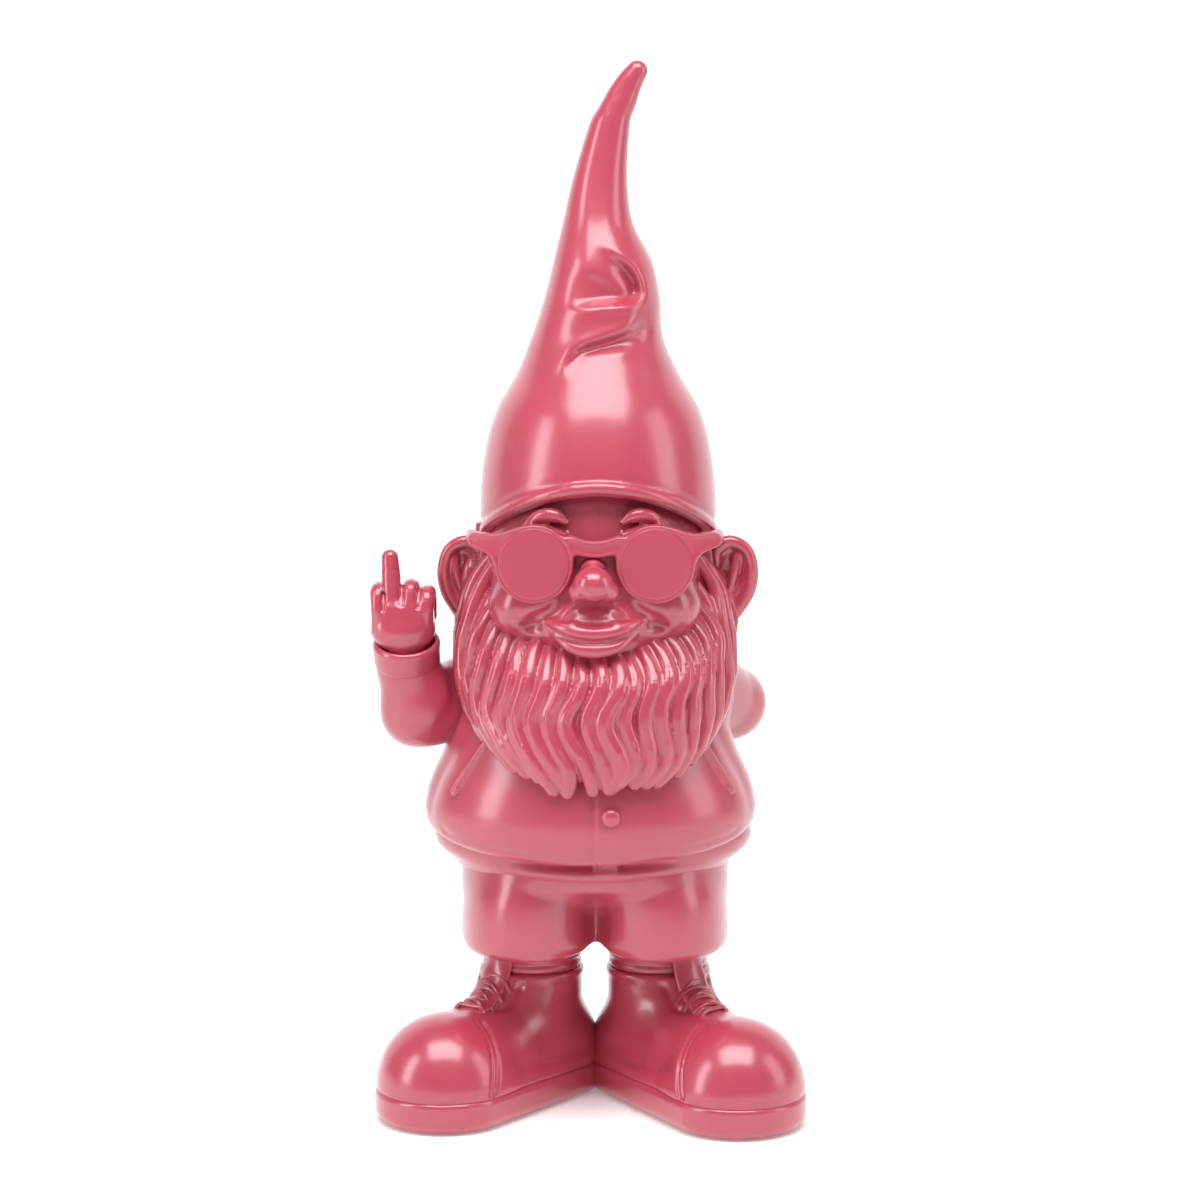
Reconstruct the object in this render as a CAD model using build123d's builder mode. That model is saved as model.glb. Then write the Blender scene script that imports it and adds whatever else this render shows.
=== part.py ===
"""Garden gnome: a lacquered cast-resin figure, built up from its separately modelled pieces.

The figure stands on the ground plane z = 0, faces -Y and has +X on its own left hand.
Every piece is worked out from the driving sizes below, in millimetres.
"""

from build123d import *
import os
from math import asin, cos, degrees, pi, radians, sin, sqrt, tan

os.makedirs("parts", exist_ok=True)

# ---------------------------------------------------------------- driving sizes
# Heights, stacked from the ground up
sole_thickness = 11.0
boot_height = 45.0  # ground to the rim of the boot
sock_height = 9.5  # bare sock between the boot rim and the hem of the shorts
shorts_height = 30.0
waistband_height = 8.5
jacket_height = 57.0  # hem to the flat seat of the neck
head_rise = 34.0  # neck seat to the middle of the head
hat_seat_rise = 46.0  # neck seat to the hat's seat, on the head's axis
hat_height = 154.8  # hat seat to the tip

# Boots
heel_radius = 15.5
heel_spread = 14.0  # middle of a heel from the middle plane
heel_setback = 14.0
toe_radius = 23.0
left_toe = (47.0, -27.0)
right_toe = (-50.0, -21.0)
toe_cap_height = 23.5  # top of the toe cap above the sole
shaft_radius = 16.6
ankle_spread = 21.6  # middle of an ankle from the middle plane
ankle_setback = 11.0
instep_sink = 0.6  # how far the instep is drawn inside the toe cap
sole_lip = 0.5  # sole standing proud of the upper
sole_edge_round = 3.2
cap_seam_share = 0.62  # of the way from the ankle to the toe
instep_share = 0.36
instep_spread = 2.5
instep_lift = 2.5
rim_depth = 1.0
seam_groove = 0.7
seam_spacing = 2.6
tongue_width = 15.0
tongue_thickness = 1.2
tongue_reach = 34.0  # how far forward of the ankle the tongue lies
tongue_rise = 4.5  # tongue above the boot rim
lace_width = 2.2
lace_proud = 1.1
lace_span = 19.0
lace_count = 4
fan_reach = 13.0
fan_rise = 0.5
fan_hub = 4.0
fan_length = 24.0
fan_start = 8.0
fan_step = 19.0

# Socks
sock_radius = 15.2
sock_roll = 1.3

# Shorts
shorts_half_width = 45.4
shorts_half_depth = 36.5
shorts_taper = 1.5  # degrees that each side leans in
shorts_corner = 30.0
crease_radius = 7.0  # hollow between the legs, at the hem
crease_depth = 5.0
crease_end = 6.0  # the hollow dies out this far below the waistband
hem_round = 3.5

# Waistband
waistband_half_width = 52.0
waistband_half_depth = 44.5
waistband_round = 3.8

# Jacket, as half widths at the heights where its outline turns
jacket_shift = -1.5
jacket_hem_half = 51.0
jacket_full_half = 54.6
jacket_full_rise = 9.0
jacket_chest_half = 49.4
jacket_chest_rise = 29.0
jacket_shoulder_half = 41.5
jacket_shoulder_rise = 47.0
jacket_neck_half = 32.0
jacket_depth_ratio = 0.86
placket_edge = 0.6
placket_width = 13.0
placket_height = 20.0
placket_proud = 0.8
pocket_length = 18.0
pocket_spread = 41.2
pocket_drop = 30.5  # middle of a pocket welt below the neck seat
pocket_slope = 35.0  # degrees from upright
welt_radius = 1.5
welt_proud = 1.2
button_radius = 3.0
button_rise = 14.0  # above the jacket hem
button_offset = 5.4
button_proud = 1.5

# Head and face
head_half_width = 37.0
head_half_depth = 39.0
head_half_height = 40.0
neck_radius = 22.0
ear_half_width = 10.0
ear_half_thickness = 6.0
ear_half_height = 13.0
ear_spread = 44.5
ear_setback = 3.0
ear_drop = 3.5
bowl_radius = 7.2  # hollow of the ear
bowl_half_height = 8.6
bowl_forward = 9.5
bowl_shift = 0.8
muzzle_drop = 17.0
muzzle_radius = 23.0
muzzle_half_height = 15.0
cheek_spread = 19.5
cheek_drop = 9.0
cheek_radius = 14.0
cheek_half_height = 12.0
nose_reach = 53.5
nose_radius = 6.4
nose_drop = 1.2
nostril_spread = 5.0
nostril_radius = 3.8
mouth_drop = 17.6
mouth_half_width = 16.0
mouth_reach = 45.5
smile = 4.0
smile_depth = 6.5
lip_radius = 2.2
lip_gap = 3.4
brow_spread = 15.5
brow_half_length = 7.4
brow_slope = -0.12
brow_rise = 20.0
brow_radius = 2.6

# Sunglasses
lens_radius = 11.2
lens_spread = 19.6
lens_rise = 4.2  # lens middle above the head's middle
lens_thickness = 2.6
lens_dome = 0.9
lens_clearance = 0.15
rim_width = 1.6
frame_thickness = 4.2
frame_front = -42.0
pocket_floor = 1.4
bridge_rise = 3.2
bridge_height = 5.6
hinge_rise = 5.0
frame_half_width = 34.0
temple_spread = 39.6
temple_bend = 18.0
temple_lift = 1.5
temple_height = 3.6
temple_thickness = 2.2

# Hair and beard
beard_bottom = 114.0
beard_half_width = 46.5
lock_count = 23
lock_radius = 2.6
lock_swing = 2.2  # degrees
lock_notch = 5.0
back_lock_count = 13
back_lock_sweep = 76.0
face_turn = 70.0
face_half_width = 39.0
hair_split = 2.0  # the ears' plane, where the beard meets the hair behind
collar_gap = 3.0

beard_forward = 7.0
beard_drop = 38.0
whisker_rise = 11.0  # top of the side whiskers above the middle of the head
beard_tip_rise = 12.0
hair_depth = 6.0
lock_sweep = 80.0
face_rise = 2.0
face_half_height = 28.5

# Arms
right_shoulder = (-34.0, 8.0, 144.0)
right_elbow = (-57.0, -6.0, 136.0)
right_cuff = (-60.6, -10.0, 147.0)
left_shoulder = (35.0, 10.0, 143.0)
left_elbow = (47.0, 31.0, 132.0)
left_cuff = (20.0, 44.0, 117.0)
cuff_proud = 1.2
cuff_round = 1.6
palm_rise = 3.0
palm_half_width = 10.6
palm_half_height = 10.5
palm_thickness = 5.4
middle_finger_offset = -4.2
finger_fold = 6.0
folded_fingers = ((-7.6, 0.8), (2.9, -0.6), (7.4, 1.8))  # offset from the palm's middle, drop
sleeve_radius = 12.0
forearm_radius = 10.2
cuff_height = 10.0
cuff_lip = 2.0
cuff_clearance = 0.2
wrist_radius = 8.0
finger_radius = 3.0
finger_length = 16.0

# Hat
hat_half_width = 39.3
hat_tilt = 19.4  # degrees that the brim is tipped back
hat_shift = 1.2
tip_radius = 3.2

# ---------------------------------------------------------------- worked-out places
shorts_hem_z = boot_height + sock_height
waistband_z = shorts_hem_z + shorts_height
jacket_hem_z = waistband_z + waistband_height
neck_z = jacket_hem_z + jacket_height
head_z = neck_z + head_rise
hat_seat_z = neck_z + hat_seat_rise
lens_z = head_z + lens_rise

hat_seat = Plane(
    origin=(0, 0, hat_seat_z),
    x_dir=(1, 0, 0),
    z_dir=(0, sin(radians(hat_tilt)), cos(radians(hat_tilt))),
)
neck_seat = Plane.XY.offset(neck_z)
pieces = {}


# ---------------------------------------------------------------- shared shapes
def egg(centre, radius, half_length, axis=(0, 0, 1), seam=0):
    """A spheroid about an axis through its centre, with the given half length along it.

    Its seam is turned by the given degrees, to lie clear of later cuts.
    """
    with BuildPart(mode=Mode.PRIVATE) as body:
        with BuildSketch(Plane.XZ):
            with BuildLine():
                EllipticalCenterArc((0, 0), radius, half_length, start_angle=-90, arc_size=180)
                Line((0, -half_length), (0, half_length))
            make_face()
        revolve(axis=Axis.Z)
    return body.part.moved(Plane(origin=centre, z_dir=axis).location * Rotation(0, 0, seam))


def limb(start, end, start_radius, end_radius, flat_end=False):
    """A round limb that tapers between two ball ends, or to a flat end square to it."""
    start, end = Vector(start), Vector(end)
    length = (end - start).length
    lean = asin((start_radius - end_radius) / length)
    leaving = Vector(cos(lean), sin(lean)) * start_radius
    arriving = Vector(0, length) + Vector(cos(lean), sin(lean)) * end_radius
    if flat_end:
        arriving = Vector(start_radius / cos(lean) - length * tan(lean), length)
    with BuildPart(mode=Mode.PRIVATE) as body:
        with BuildSketch(Plane.XZ):
            with BuildLine():
                CenterArc((0, 0), start_radius, -90, 90 + degrees(lean))
                Line(leaving, arriving)
                if flat_end:
                    Polyline(arriving, (0, length), (0, -start_radius))
                else:
                    CenterArc((0, length), end_radius, degrees(lean), 90 - degrees(lean))
                    Line((0, length + end_radius), (0, -start_radius))
            make_face()
        revolve(axis=Axis.Z)
    return body.part.moved(Plane(origin=start, z_dir=end - start).location)


def drawn_roll(points, middle_radius, end_radius):
    """A soft roll, such as a lip or a brow, drawn through points and thinner at its ends."""
    with BuildLine(mode=Mode.PRIVATE) as route:
        Spline(*points)
    with BuildPart(mode=Mode.PRIVATE) as body:
        for step in range(5):
            along = step / 4
            radius = end_radius + (middle_radius - end_radius) * sin(pi * along)
            with BuildSketch(Plane(origin=route.line @ along, x_dir=(0, 1, 0), z_dir=route.line % along)):
                Circle(radius)
        loft()
    return body.part


def stacked(outline, base_z, depth_ratio, shift=0.0):
    """A body lofted through level ellipses, given as pairs of half width and rise."""
    with BuildPart(mode=Mode.PRIVATE) as body:
        for half_width, rise in outline:
            with BuildSketch(Plane.XY.offset(base_z + rise)):
                with Locations((shift, 0)):
                    Ellipse(half_width, half_width * depth_ratio)
        loft()
    return body.part


def keep(name, piece):
    """Lists a finished piece under its name, for its neighbours and for the export."""
    pieces[name] = piece


# ---------------------------------------------------------------- boots and socks
def arch(half_width, height):
    """The cross-section of a shoe upper: half an ellipse standing on the sole."""
    with BuildSketch(mode=Mode.PRIVATE) as section:
        with BuildLine():
            EllipticalCenterArc((0, 0), half_width, height, start_angle=0, arc_size=180)
            Line((-half_width, 0), (half_width, 0))
        make_face()
    return section.sketch


def build_foot(side, toe):
    """One foot: sole, boot upper, tongue, laces and sock."""
    sign = 1 if side == "left" else -1
    heel = Vector(sign * heel_spread, heel_setback)
    ankle = Vector(sign * ankle_spread, ankle_setback)
    toe = Vector(toe)
    forward = (toe - ankle).normalized()
    stride = (toe - ankle).length
    across = Vector(-forward.Y, forward.X)
    own_side = Plane(origin=(0, 0, 0), x_dir=(0, 1, 0), z_dir=(sign, 0, 0))
    sole_top = Plane.XY.offset(sole_thickness)

    def across_plane(distance):
        """An upright plane across the foot, that far in front of the ankle."""
        place = ankle + forward * distance
        return Plane(origin=(place.X, place.Y, sole_thickness), x_dir=across, z_dir=forward)

    def upper(grow, rise=0.0):
        """The boot's outer form, grown all round, with its shaft carried on above the rim."""
        with BuildPart(mode=Mode.PRIVATE) as form:
            add(egg((toe.X, toe.Y, sole_thickness), toe_radius + grow, toe_cap_height + grow))
            for share, half_width, height in (
                (1.0, toe_radius - instep_sink, toe_cap_height - instep_sink),
                (cap_seam_share, toe_radius - 2 * instep_sink, toe_cap_height - instep_sink),
                (instep_share, shaft_radius + instep_spread, toe_cap_height + instep_lift),
                (0.0, shaft_radius - instep_sink, boot_height - sole_thickness - rim_depth),
            ):
                with BuildSketch(across_plane(stride * share)):
                    add(arch(half_width + grow, height + grow))
            loft()
            with BuildSketch(sole_top):
                with Locations(heel):
                    Circle(heel_radius + grow)
            with BuildSketch(Plane.XY.offset(boot_height)):
                with Locations(ankle):
                    Circle(shaft_radius + grow)
            loft()
            if rise:
                with BuildSketch(Plane.XY.offset(boot_height)):
                    with Locations(ankle):
                        Circle(shaft_radius + grow)
                extrude(amount=rise)
            split(bisect_by=sole_top)
            split(bisect_by=own_side)
        return form.part

    with BuildPart() as sole:
        with BuildSketch():
            with Locations(heel):
                Circle(heel_radius + sole_lip)
            with Locations(toe):
                Circle(toe_radius + sole_lip)
            make_hull()
        extrude(amount=sole_thickness)
        fillet(sole.edges().group_by(Axis.Z)[0], sole_edge_round)
        split(bisect_by=own_side)
    keep(f"sole_{side}", sole)

    with BuildPart() as boot:
        add(upper(0))
        # Double seam behind the toe cap
        for seam in range(2):
            with BuildSketch(across_plane(stride * cap_seam_share - seam * seam_spacing)):
                add(arch(2 * toe_radius, 2 * toe_cap_height))
                half_width = toe_radius - 2 * instep_sink - seam_groove
                add(arch(half_width, toe_cap_height - instep_sink - seam_groove), mode=Mode.SUBTRACT)
            extrude(amount=-seam_groove, mode=Mode.SUBTRACT)
    keep(f"boot_{side}", boot)

    # The tongue is a strip that lies on the instep and climbs past the rim of the boot
    with BuildPart() as tongue:
        with BuildSketch(Plane(origin=(ankle.X, ankle.Y, 0), x_dir=forward, z_dir=(0, 0, 1))):
            Rectangle(tongue_reach, tongue_width, align=(Align.MIN, Align.CENTER))
        extrude(amount=boot_height + tongue_rise)
        add(upper(tongue_thickness, tongue_rise), mode=Mode.INTERSECT)
        add(upper(0, tongue_rise), mode=Mode.SUBTRACT)
    keep(f"tongue_{side}", tongue)

    # The laces fan out from a point in the air in front of the instep
    fan = ankle + forward * (shaft_radius + fan_reach)
    fan_plane = Plane(origin=(fan.X, fan.Y, boot_height + fan_rise), x_dir=forward, z_dir=-across)
    with BuildPart() as laces:
        with BuildSketch(fan_plane):
            for lace in range(lace_count):
                turn = 180 + fan_start + lace * fan_step
                Rectangle(fan_length, lace_width, rotation=turn, align=(Align.MIN, Align.CENTER))
            with Locations((0, 0)):
                Circle(fan_hub, mode=Mode.SUBTRACT)
        extrude(amount=lace_span / 2, both=True)
        add(upper(tongue_thickness + lace_proud, tongue_rise), mode=Mode.INTERSECT)
        add(upper(0, tongue_rise), mode=Mode.SUBTRACT)
        add(tongue.part, mode=Mode.SUBTRACT)
    keep(f"laces_{side}", laces)

    with BuildPart() as sock:
        with BuildSketch(Plane(origin=(ankle.X, ankle.Y, boot_height), x_dir=(1, 0, 0), z_dir=(0, -1, 0))):
            with BuildLine():
                wall = Polyline((0, 0), (sock_radius, 0))
                band = ThreePointArc(
                    wall @ 1, (sock_radius + sock_roll, sock_height * 0.3), (sock_radius, sock_height * 0.6)
                )
                Polyline(band @ 1, (sock_radius, sock_height), (0, sock_height), (0, 0))
            make_face()
        revolve(axis=Axis((ankle.X, ankle.Y, 0), (0, 0, 1)))
    keep(f"sock_{side}", sock)


build_foot("left", left_toe)
build_foot("right", right_toe)

# ---------------------------------------------------------------- shorts and waistband
with BuildPart() as shorts:
    with BuildSketch(Plane.XY.offset(shorts_hem_z)):
        RectangleRounded(2 * shorts_half_width, 2 * shorts_half_depth, shorts_corner)
    extrude(amount=shorts_height, taper=shorts_taper)
    fillet(shorts.edges().group_by(Axis.Z)[0], hem_round)
    # The hollow between the legs runs up to nothing, in front and behind
    for facing in (-1, 1):
        edge = facing * (shorts_half_depth + crease_radius - crease_depth)
        with BuildSketch(Plane.XY.offset(shorts_hem_z)):
            with Locations((0, edge)):
                Circle(crease_radius)
        with BuildSketch(Plane.XY.offset(waistband_z - crease_end)):
            with Locations((0, edge)):
                Circle(crease_radius * 0.35)
        loft(mode=Mode.SUBTRACT)
keep("shorts", shorts)

waistband_outline = (
    (waistband_half_width - waistband_round, 0),
    (waistband_half_width - 0.6, waistband_height * 0.3),
    (waistband_half_width, waistband_height * 0.62),
    (waistband_half_width - 1.2, waistband_height),
)
with BuildPart() as waistband:
    add(stacked(waistband_outline, waistband_z, waistband_half_depth / waistband_half_width))
keep("waistband", waistband)

# ---------------------------------------------------------------- jacket
jacket_outline = (
    (jacket_hem_half, 0),
    (jacket_full_half - 1.0, jacket_full_rise * 0.4),
    (jacket_full_half, jacket_full_rise),
    (jacket_chest_half, jacket_chest_rise),
    (jacket_shoulder_half, jacket_shoulder_rise),
    (jacket_neck_half, jacket_height),
)


def jacket_form(grow=0.0):
    """The jacket's outer form, grown all round."""
    outline = [(half_width + grow, rise) for half_width, rise in jacket_outline]
    return stacked(outline, jacket_hem_z, jacket_depth_ratio, jacket_shift)


def front_plane(x, z):
    """An upright plane that faces forwards, through a point on the middle plane's line."""
    return Plane(origin=(x, 0, z), x_dir=(1, 0, 0), z_dir=(0, -1, 0))


with BuildPart() as jacket:
    add(jacket_form())
keep("jacket", jacket)

# The front edge of the jacket laps over as a strip from the hem to the beard
with BuildPart() as placket:
    with BuildSketch(Plane.XY.offset(jacket_hem_z)):
        with Locations((placket_edge, 0)):
            Rectangle(placket_width, jacket_full_half, align=(Align.MIN, Align.MAX))
    extrude(amount=placket_height)
    add(jacket_form(placket_proud), mode=Mode.INTERSECT)
    add(jacket.part, mode=Mode.SUBTRACT)
keep("placket", placket)

# Two slanted pocket welts lie on the front
for side, sign in (("left", 1), ("right", -1)):
    with BuildPart() as welt:
        with BuildSketch(front_plane(jacket_shift + sign * pocket_spread, neck_z - pocket_drop)):
            SlotOverall(pocket_length, 2 * welt_radius, rotation=90 + sign * pocket_slope)
        extrude(amount=jacket_full_half)
        add(jacket_form(welt_proud), mode=Mode.INTERSECT)
        add(jacket.part, mode=Mode.SUBTRACT)
    keep(f"pocket_welt_{side}", welt)

with BuildPart() as jacket_button:
    with BuildSketch(front_plane(button_offset, jacket_hem_z + button_rise)):
        Circle(button_radius)
    extrude(amount=jacket_full_half)
    add(jacket_form(placket_proud + button_proud), mode=Mode.INTERSECT)
    add(jacket.part, mode=Mode.SUBTRACT)
    add(placket.part, mode=Mode.SUBTRACT)
keep("jacket_button", jacket_button)

# ---------------------------------------------------------------- head
head_outline = (
    (neck_radius, 0),
    (head_half_width * 0.87, head_rise * 0.36),
    (head_half_width * 0.985, head_rise * 0.7),
    (head_half_width, head_rise),
    (head_half_width * 0.95, head_rise + head_half_height * 0.31),
    (head_half_width * 0.84, head_rise + head_half_height * 0.55),
    (head_half_width * 0.62, head_rise + head_half_height * 0.78),
)
head_ratio = head_half_depth / head_half_width


def on_face(x, rise, proud=0.0):
    """A point of the face at that height from the head's middle, standing proud of the skull."""
    level = sqrt(1 - (rise / (head_half_height * 1.12)) ** 2)
    depth = head_half_depth * sqrt(level**2 - (x / head_half_width) ** 2)
    return Vector(x, -depth - proud, head_z + rise)


with BuildPart() as head:
    add(stacked(head_outline, neck_z, head_ratio))
    # Muzzle and cheeks
    add(egg((0, -head_half_depth * 0.55, head_z - muzzle_drop), muzzle_radius, muzzle_half_height))
    for sign in (-1, 1):
        cheek = (sign * cheek_spread, -head_half_depth * 0.68, head_z - cheek_drop)
        add(egg(cheek, cheek_radius, cheek_half_height))
    # Nose: a bridge, a ball and two nostrils
    nose = Vector(0, -nose_reach + nose_radius, head_z - nose_drop)
    add(limb((0, -head_half_depth * 0.9, head_z + nose_drop * 3), nose, nose_radius * 0.5, nose_radius))
    for sign in (-1, 1):
        with Locations(nose + Vector(sign * nostril_spread, nose_radius * 0.55, -nose_radius * 0.4)):
            Sphere(nostril_radius)
    # Lips, smiling
    lips = ((mouth_drop, smile * 0.6), (mouth_drop + lip_gap, smile))
    for drop, sag in lips:
        points = []
        for share in (-1, -0.5, 0, 0.5, 1):
            bend = 1 - share**2
            height = head_z - drop + smile - sag * bend
            points.append((share * mouth_half_width, -mouth_reach + smile_depth * share**2, height))
        add(drawn_roll(points, lip_radius, lip_radius * 0.35))
    # Brows
    for sign in (-1, 1):
        middle = on_face(sign * brow_spread, brow_rise, -0.6)
        add(egg(middle, brow_radius, brow_half_length, (1, sign * 0.5, sign * brow_slope)))
    split(bisect_by=neck_seat)
    split(bisect_by=hat_seat, keep=Keep.BOTTOM)
keep("head", head)

# ---------------------------------------------------------------- ears
for side, sign, seam in (("left", 1, 180), ("right", -1, 0)):
    middle = Vector(sign * ear_spread, ear_setback, head_z - ear_drop)
    bowl = middle + Vector(sign * bowl_shift, -bowl_forward, bowl_shift)
    with BuildPart() as ear:
        add(egg(middle, ear_half_width, ear_half_height, seam=seam))
        with Locations(middle):
            Box(4 * ear_half_width, 2 * ear_half_thickness, 4 * ear_half_height, mode=Mode.INTERSECT)
        add(egg(bowl, bowl_radius, bowl_half_height, seam=seam), mode=Mode.SUBTRACT)
        add(head.part, mode=Mode.SUBTRACT)
        split(bisect_by=hat_seat, keep=Keep.BOTTOM)
    keep(f"ear_{side}", ear)

# ---------------------------------------------------------------- sunglasses
frame_back = frame_front + frame_thickness
with BuildPart() as sunglasses_frame:
    with BuildSketch(Plane(origin=(0, frame_back, lens_z), x_dir=(1, 0, 0), z_dir=(0, -1, 0))):
        with Locations((-lens_spread, 0), (lens_spread, 0)):
            Circle(lens_radius + rim_width)
        with Locations((0, bridge_rise)):
            Rectangle(2 * lens_spread, bridge_height)
        for sign in (-1, 1):
            inner = sign * (lens_spread + lens_radius * 0.7)
            outer = sign * frame_half_width
            with BuildLine():
                Polyline(
                    (inner, hinge_rise - 1),
                    (inner, hinge_rise + 4.5),
                    (outer, hinge_rise + temple_height),
                    (outer, hinge_rise),
                    (inner, hinge_rise - 6),
                    (inner, hinge_rise - 1),
                )
            make_face()
    extrude(amount=frame_thickness)
    with BuildSketch(Plane(origin=(0, frame_front, lens_z), x_dir=(1, 0, 0), z_dir=(0, -1, 0))):
        with Locations((-lens_spread, 0), (lens_spread, 0)):
            Circle(lens_radius + lens_clearance)
    extrude(amount=-(frame_thickness - pocket_floor), mode=Mode.SUBTRACT)
    add(head.part, mode=Mode.SUBTRACT)
keep("sunglasses_frame", sunglasses_frame)

for side, sign in (("left", 1), ("right", -1)):
    lens_place = (sign * lens_spread, frame_back - pocket_floor, lens_z)
    seat = Plane(origin=lens_place, x_dir=(1, 0, 0), z_dir=(0, -1, 0))
    with BuildPart() as lens:
        with BuildSketch(seat):
            Circle(lens_radius)
        extrude(amount=lens_thickness + lens_dome)
        fillet(lens.edges().group_by(Axis.Y)[0], lens_dome)
        add(head.part, mode=Mode.SUBTRACT)
    keep(f"lens_{side}", lens)

    with BuildPart() as temple:
        hinge_z = lens_z + hinge_rise + temple_height / 2
        hinge = Vector(sign * (frame_half_width - temple_thickness), frame_back, hinge_z)
        bend = Vector(sign * temple_spread, ear_setback - temple_bend, hinge.Z + temple_lift)
        tip = Vector(sign * temple_spread, ear_setback + 2, hinge.Z + temple_lift - 3)
        for place, along in ((hinge, (0, 1, 0)), (bend, (0, 1, -0.1)), (tip, (0, 1, -0.4))):
            with BuildSketch(Plane(origin=place, x_dir=(1, 0, 0), z_dir=along)):
                Rectangle(temple_thickness, temple_height)
        loft()
        add(head.part, mode=Mode.SUBTRACT)
        add(pieces[f"ear_{side}"].part, mode=Mode.SUBTRACT)
        split(bisect_by=hat_seat, keep=Keep.BOTTOM)
    keep(f"temple_{side}", temple)

# ---------------------------------------------------------------- hair and beard
beard_front = frame_front - beard_forward
hair_levels = (  # height, half width, half depth and front of the smooth mass under the locks
    (beard_bottom - 4, beard_half_width * 0.4, beard_half_width * 0.25, beard_front + 1.5),
    (beard_bottom + 5, beard_half_width * 0.6, beard_half_width * 0.42, beard_front),
    (beard_bottom + 15, beard_half_width * 0.79, beard_half_width * 0.62, beard_front - 0.5),
    (beard_bottom + 26, beard_half_width * 0.92, beard_half_width * 0.75, beard_front - 0.5),
    (neck_z, beard_half_width * 0.97, beard_half_width * 0.82, beard_front),
    (neck_z + 12, beard_half_width, beard_half_width * 0.86, beard_front + 3),
    (head_z - 8, head_half_width + hair_depth, head_half_depth + 1, -head_half_depth - 2),
    (head_z + 8, head_half_width + hair_depth - 2, head_half_depth - 1, -head_half_depth + 1.5),
    (head_z + 20, head_half_width + hair_depth - 4, head_half_depth - 3, -head_half_depth + 3.5),
)


def hair_point(turn, height, proud=0.0):
    """A point of the hair's smooth mass at a height, at an angle in degrees from the front."""
    low, high = hair_levels[0], hair_levels[1]
    for low, high in zip(hair_levels, hair_levels[1:]):
        if height <= high[0]:
            break
    share = (height - low[0]) / (high[0] - low[0])
    half_width, half_depth, front = (a + (b - a) * share for a, b in zip(low[1:], high[1:]))
    across = (half_width + proud) * sin(radians(turn))
    return Vector(across, front + half_depth - (half_depth + proud) * cos(radians(turn)), height)


def lock(turn, top, bottom, radius, swing):
    """One lock of hair, swinging from side to side as it comes down to a point."""
    stations = 6
    with BuildPart(mode=Mode.PRIVATE) as body:
        route = []
        for station in range(stations + 1):
            share = station / stations
            route.append(hair_point(turn + swing * sin(2.6 * pi * share), top + (bottom - top) * share))
        for station, place in enumerate(route):
            before, after = route[max(station - 1, 0)], route[min(station + 1, stations)]
            share = station / stations
            size = radius * (0.55 + 0.45 * sin(pi * min(share * 2.2, 0.5))) * (1 - share**3 * 0.78)
            with BuildSketch(Plane(origin=place, x_dir=(0, 1, 0.01), z_dir=after - before)):
                Circle(size)
        loft()
    return body.part


def hair_core():
    """The smooth mass of hair and beard that the locks lie on."""
    with BuildPart(mode=Mode.PRIVATE) as core:
        for height, half_width, half_depth, front in hair_levels:
            with BuildSketch(Plane.XY.offset(height)):
                with Locations((0, front + half_depth)):
                    Ellipse(half_width, half_depth)
        loft()
    return core.part


def beard_tip(turn):
    """The height at which a lock of the beard ends, lowest in the middle."""
    return beard_bottom + beard_tip_rise * abs(turn / 90) ** 3


def beard_root(turn):
    """The height of the beard's upper edge, which runs round under the mouth and up the cheeks."""
    reach = min(abs(turn) / face_turn, 1)
    return head_z + face_rise - face_half_height * sqrt(1 - reach**2) + abs(turn) * 0.05


face_fittings = ("ear_left", "ear_right", "temple_left", "temple_right")
with BuildPart() as beard:
    add(hair_core())
    # Trim the mass to the beard's outline: rounded below, open for the face above
    with BuildSketch(front_plane(0, 0)):
        with Locations((0, beard_bottom + beard_drop)):
            height = head_z + whisker_rise - beard_bottom - beard_drop
            Rectangle(4 * beard_half_width, height, align=(Align.CENTER, Align.MIN))
            Ellipse(beard_half_width * 1.3, beard_drop - lock_notch)
        with Locations((0, head_z + face_rise)):
            Ellipse(face_half_width, face_half_height, mode=Mode.SUBTRACT)
    extrude(amount=2 * beard_half_width, mode=Mode.INTERSECT)
    locks = []
    for number in range(lock_count):
        turn = lock_sweep * (2 * number / (lock_count - 1) - 1)
        size = lock_radius * (1 - 0.25 * abs(turn) / lock_sweep)
        swing = lock_swing * (-1) ** (number // 3)
        locks.append(lock(turn, beard_root(turn), beard_tip(turn), size, swing))
    add(locks)
    split(bisect_by=Plane.XZ.offset(-hair_split))
    split(bisect_by=hat_seat, keep=Keep.BOTTOM)
    for neighbour in ("head", "jacket", *face_fittings):
        add(pieces[neighbour].part, mode=Mode.SUBTRACT)
keep("beard", beard)

with BuildPart() as hair:
    add(hair_core())
    locks = []
    for number in range(back_lock_count):
        turn = 180 + back_lock_sweep * (2 * number / (back_lock_count - 1) - 1)
        locks.append(lock(turn, head_z + 14, neck_z, lock_radius * 1.2, lock_swing * (-1) ** number))
    add(locks)
    split(bisect_by=Plane.XZ.offset(-hair_split), keep=Keep.BOTTOM)
    split(bisect_by=Plane.XY.offset(neck_z + collar_gap))
    split(bisect_by=hat_seat, keep=Keep.BOTTOM)
    for neighbour in ("head", *face_fittings):
        add(pieces[neighbour].part, mode=Mode.SUBTRACT)
keep("hair", hair)

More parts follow.
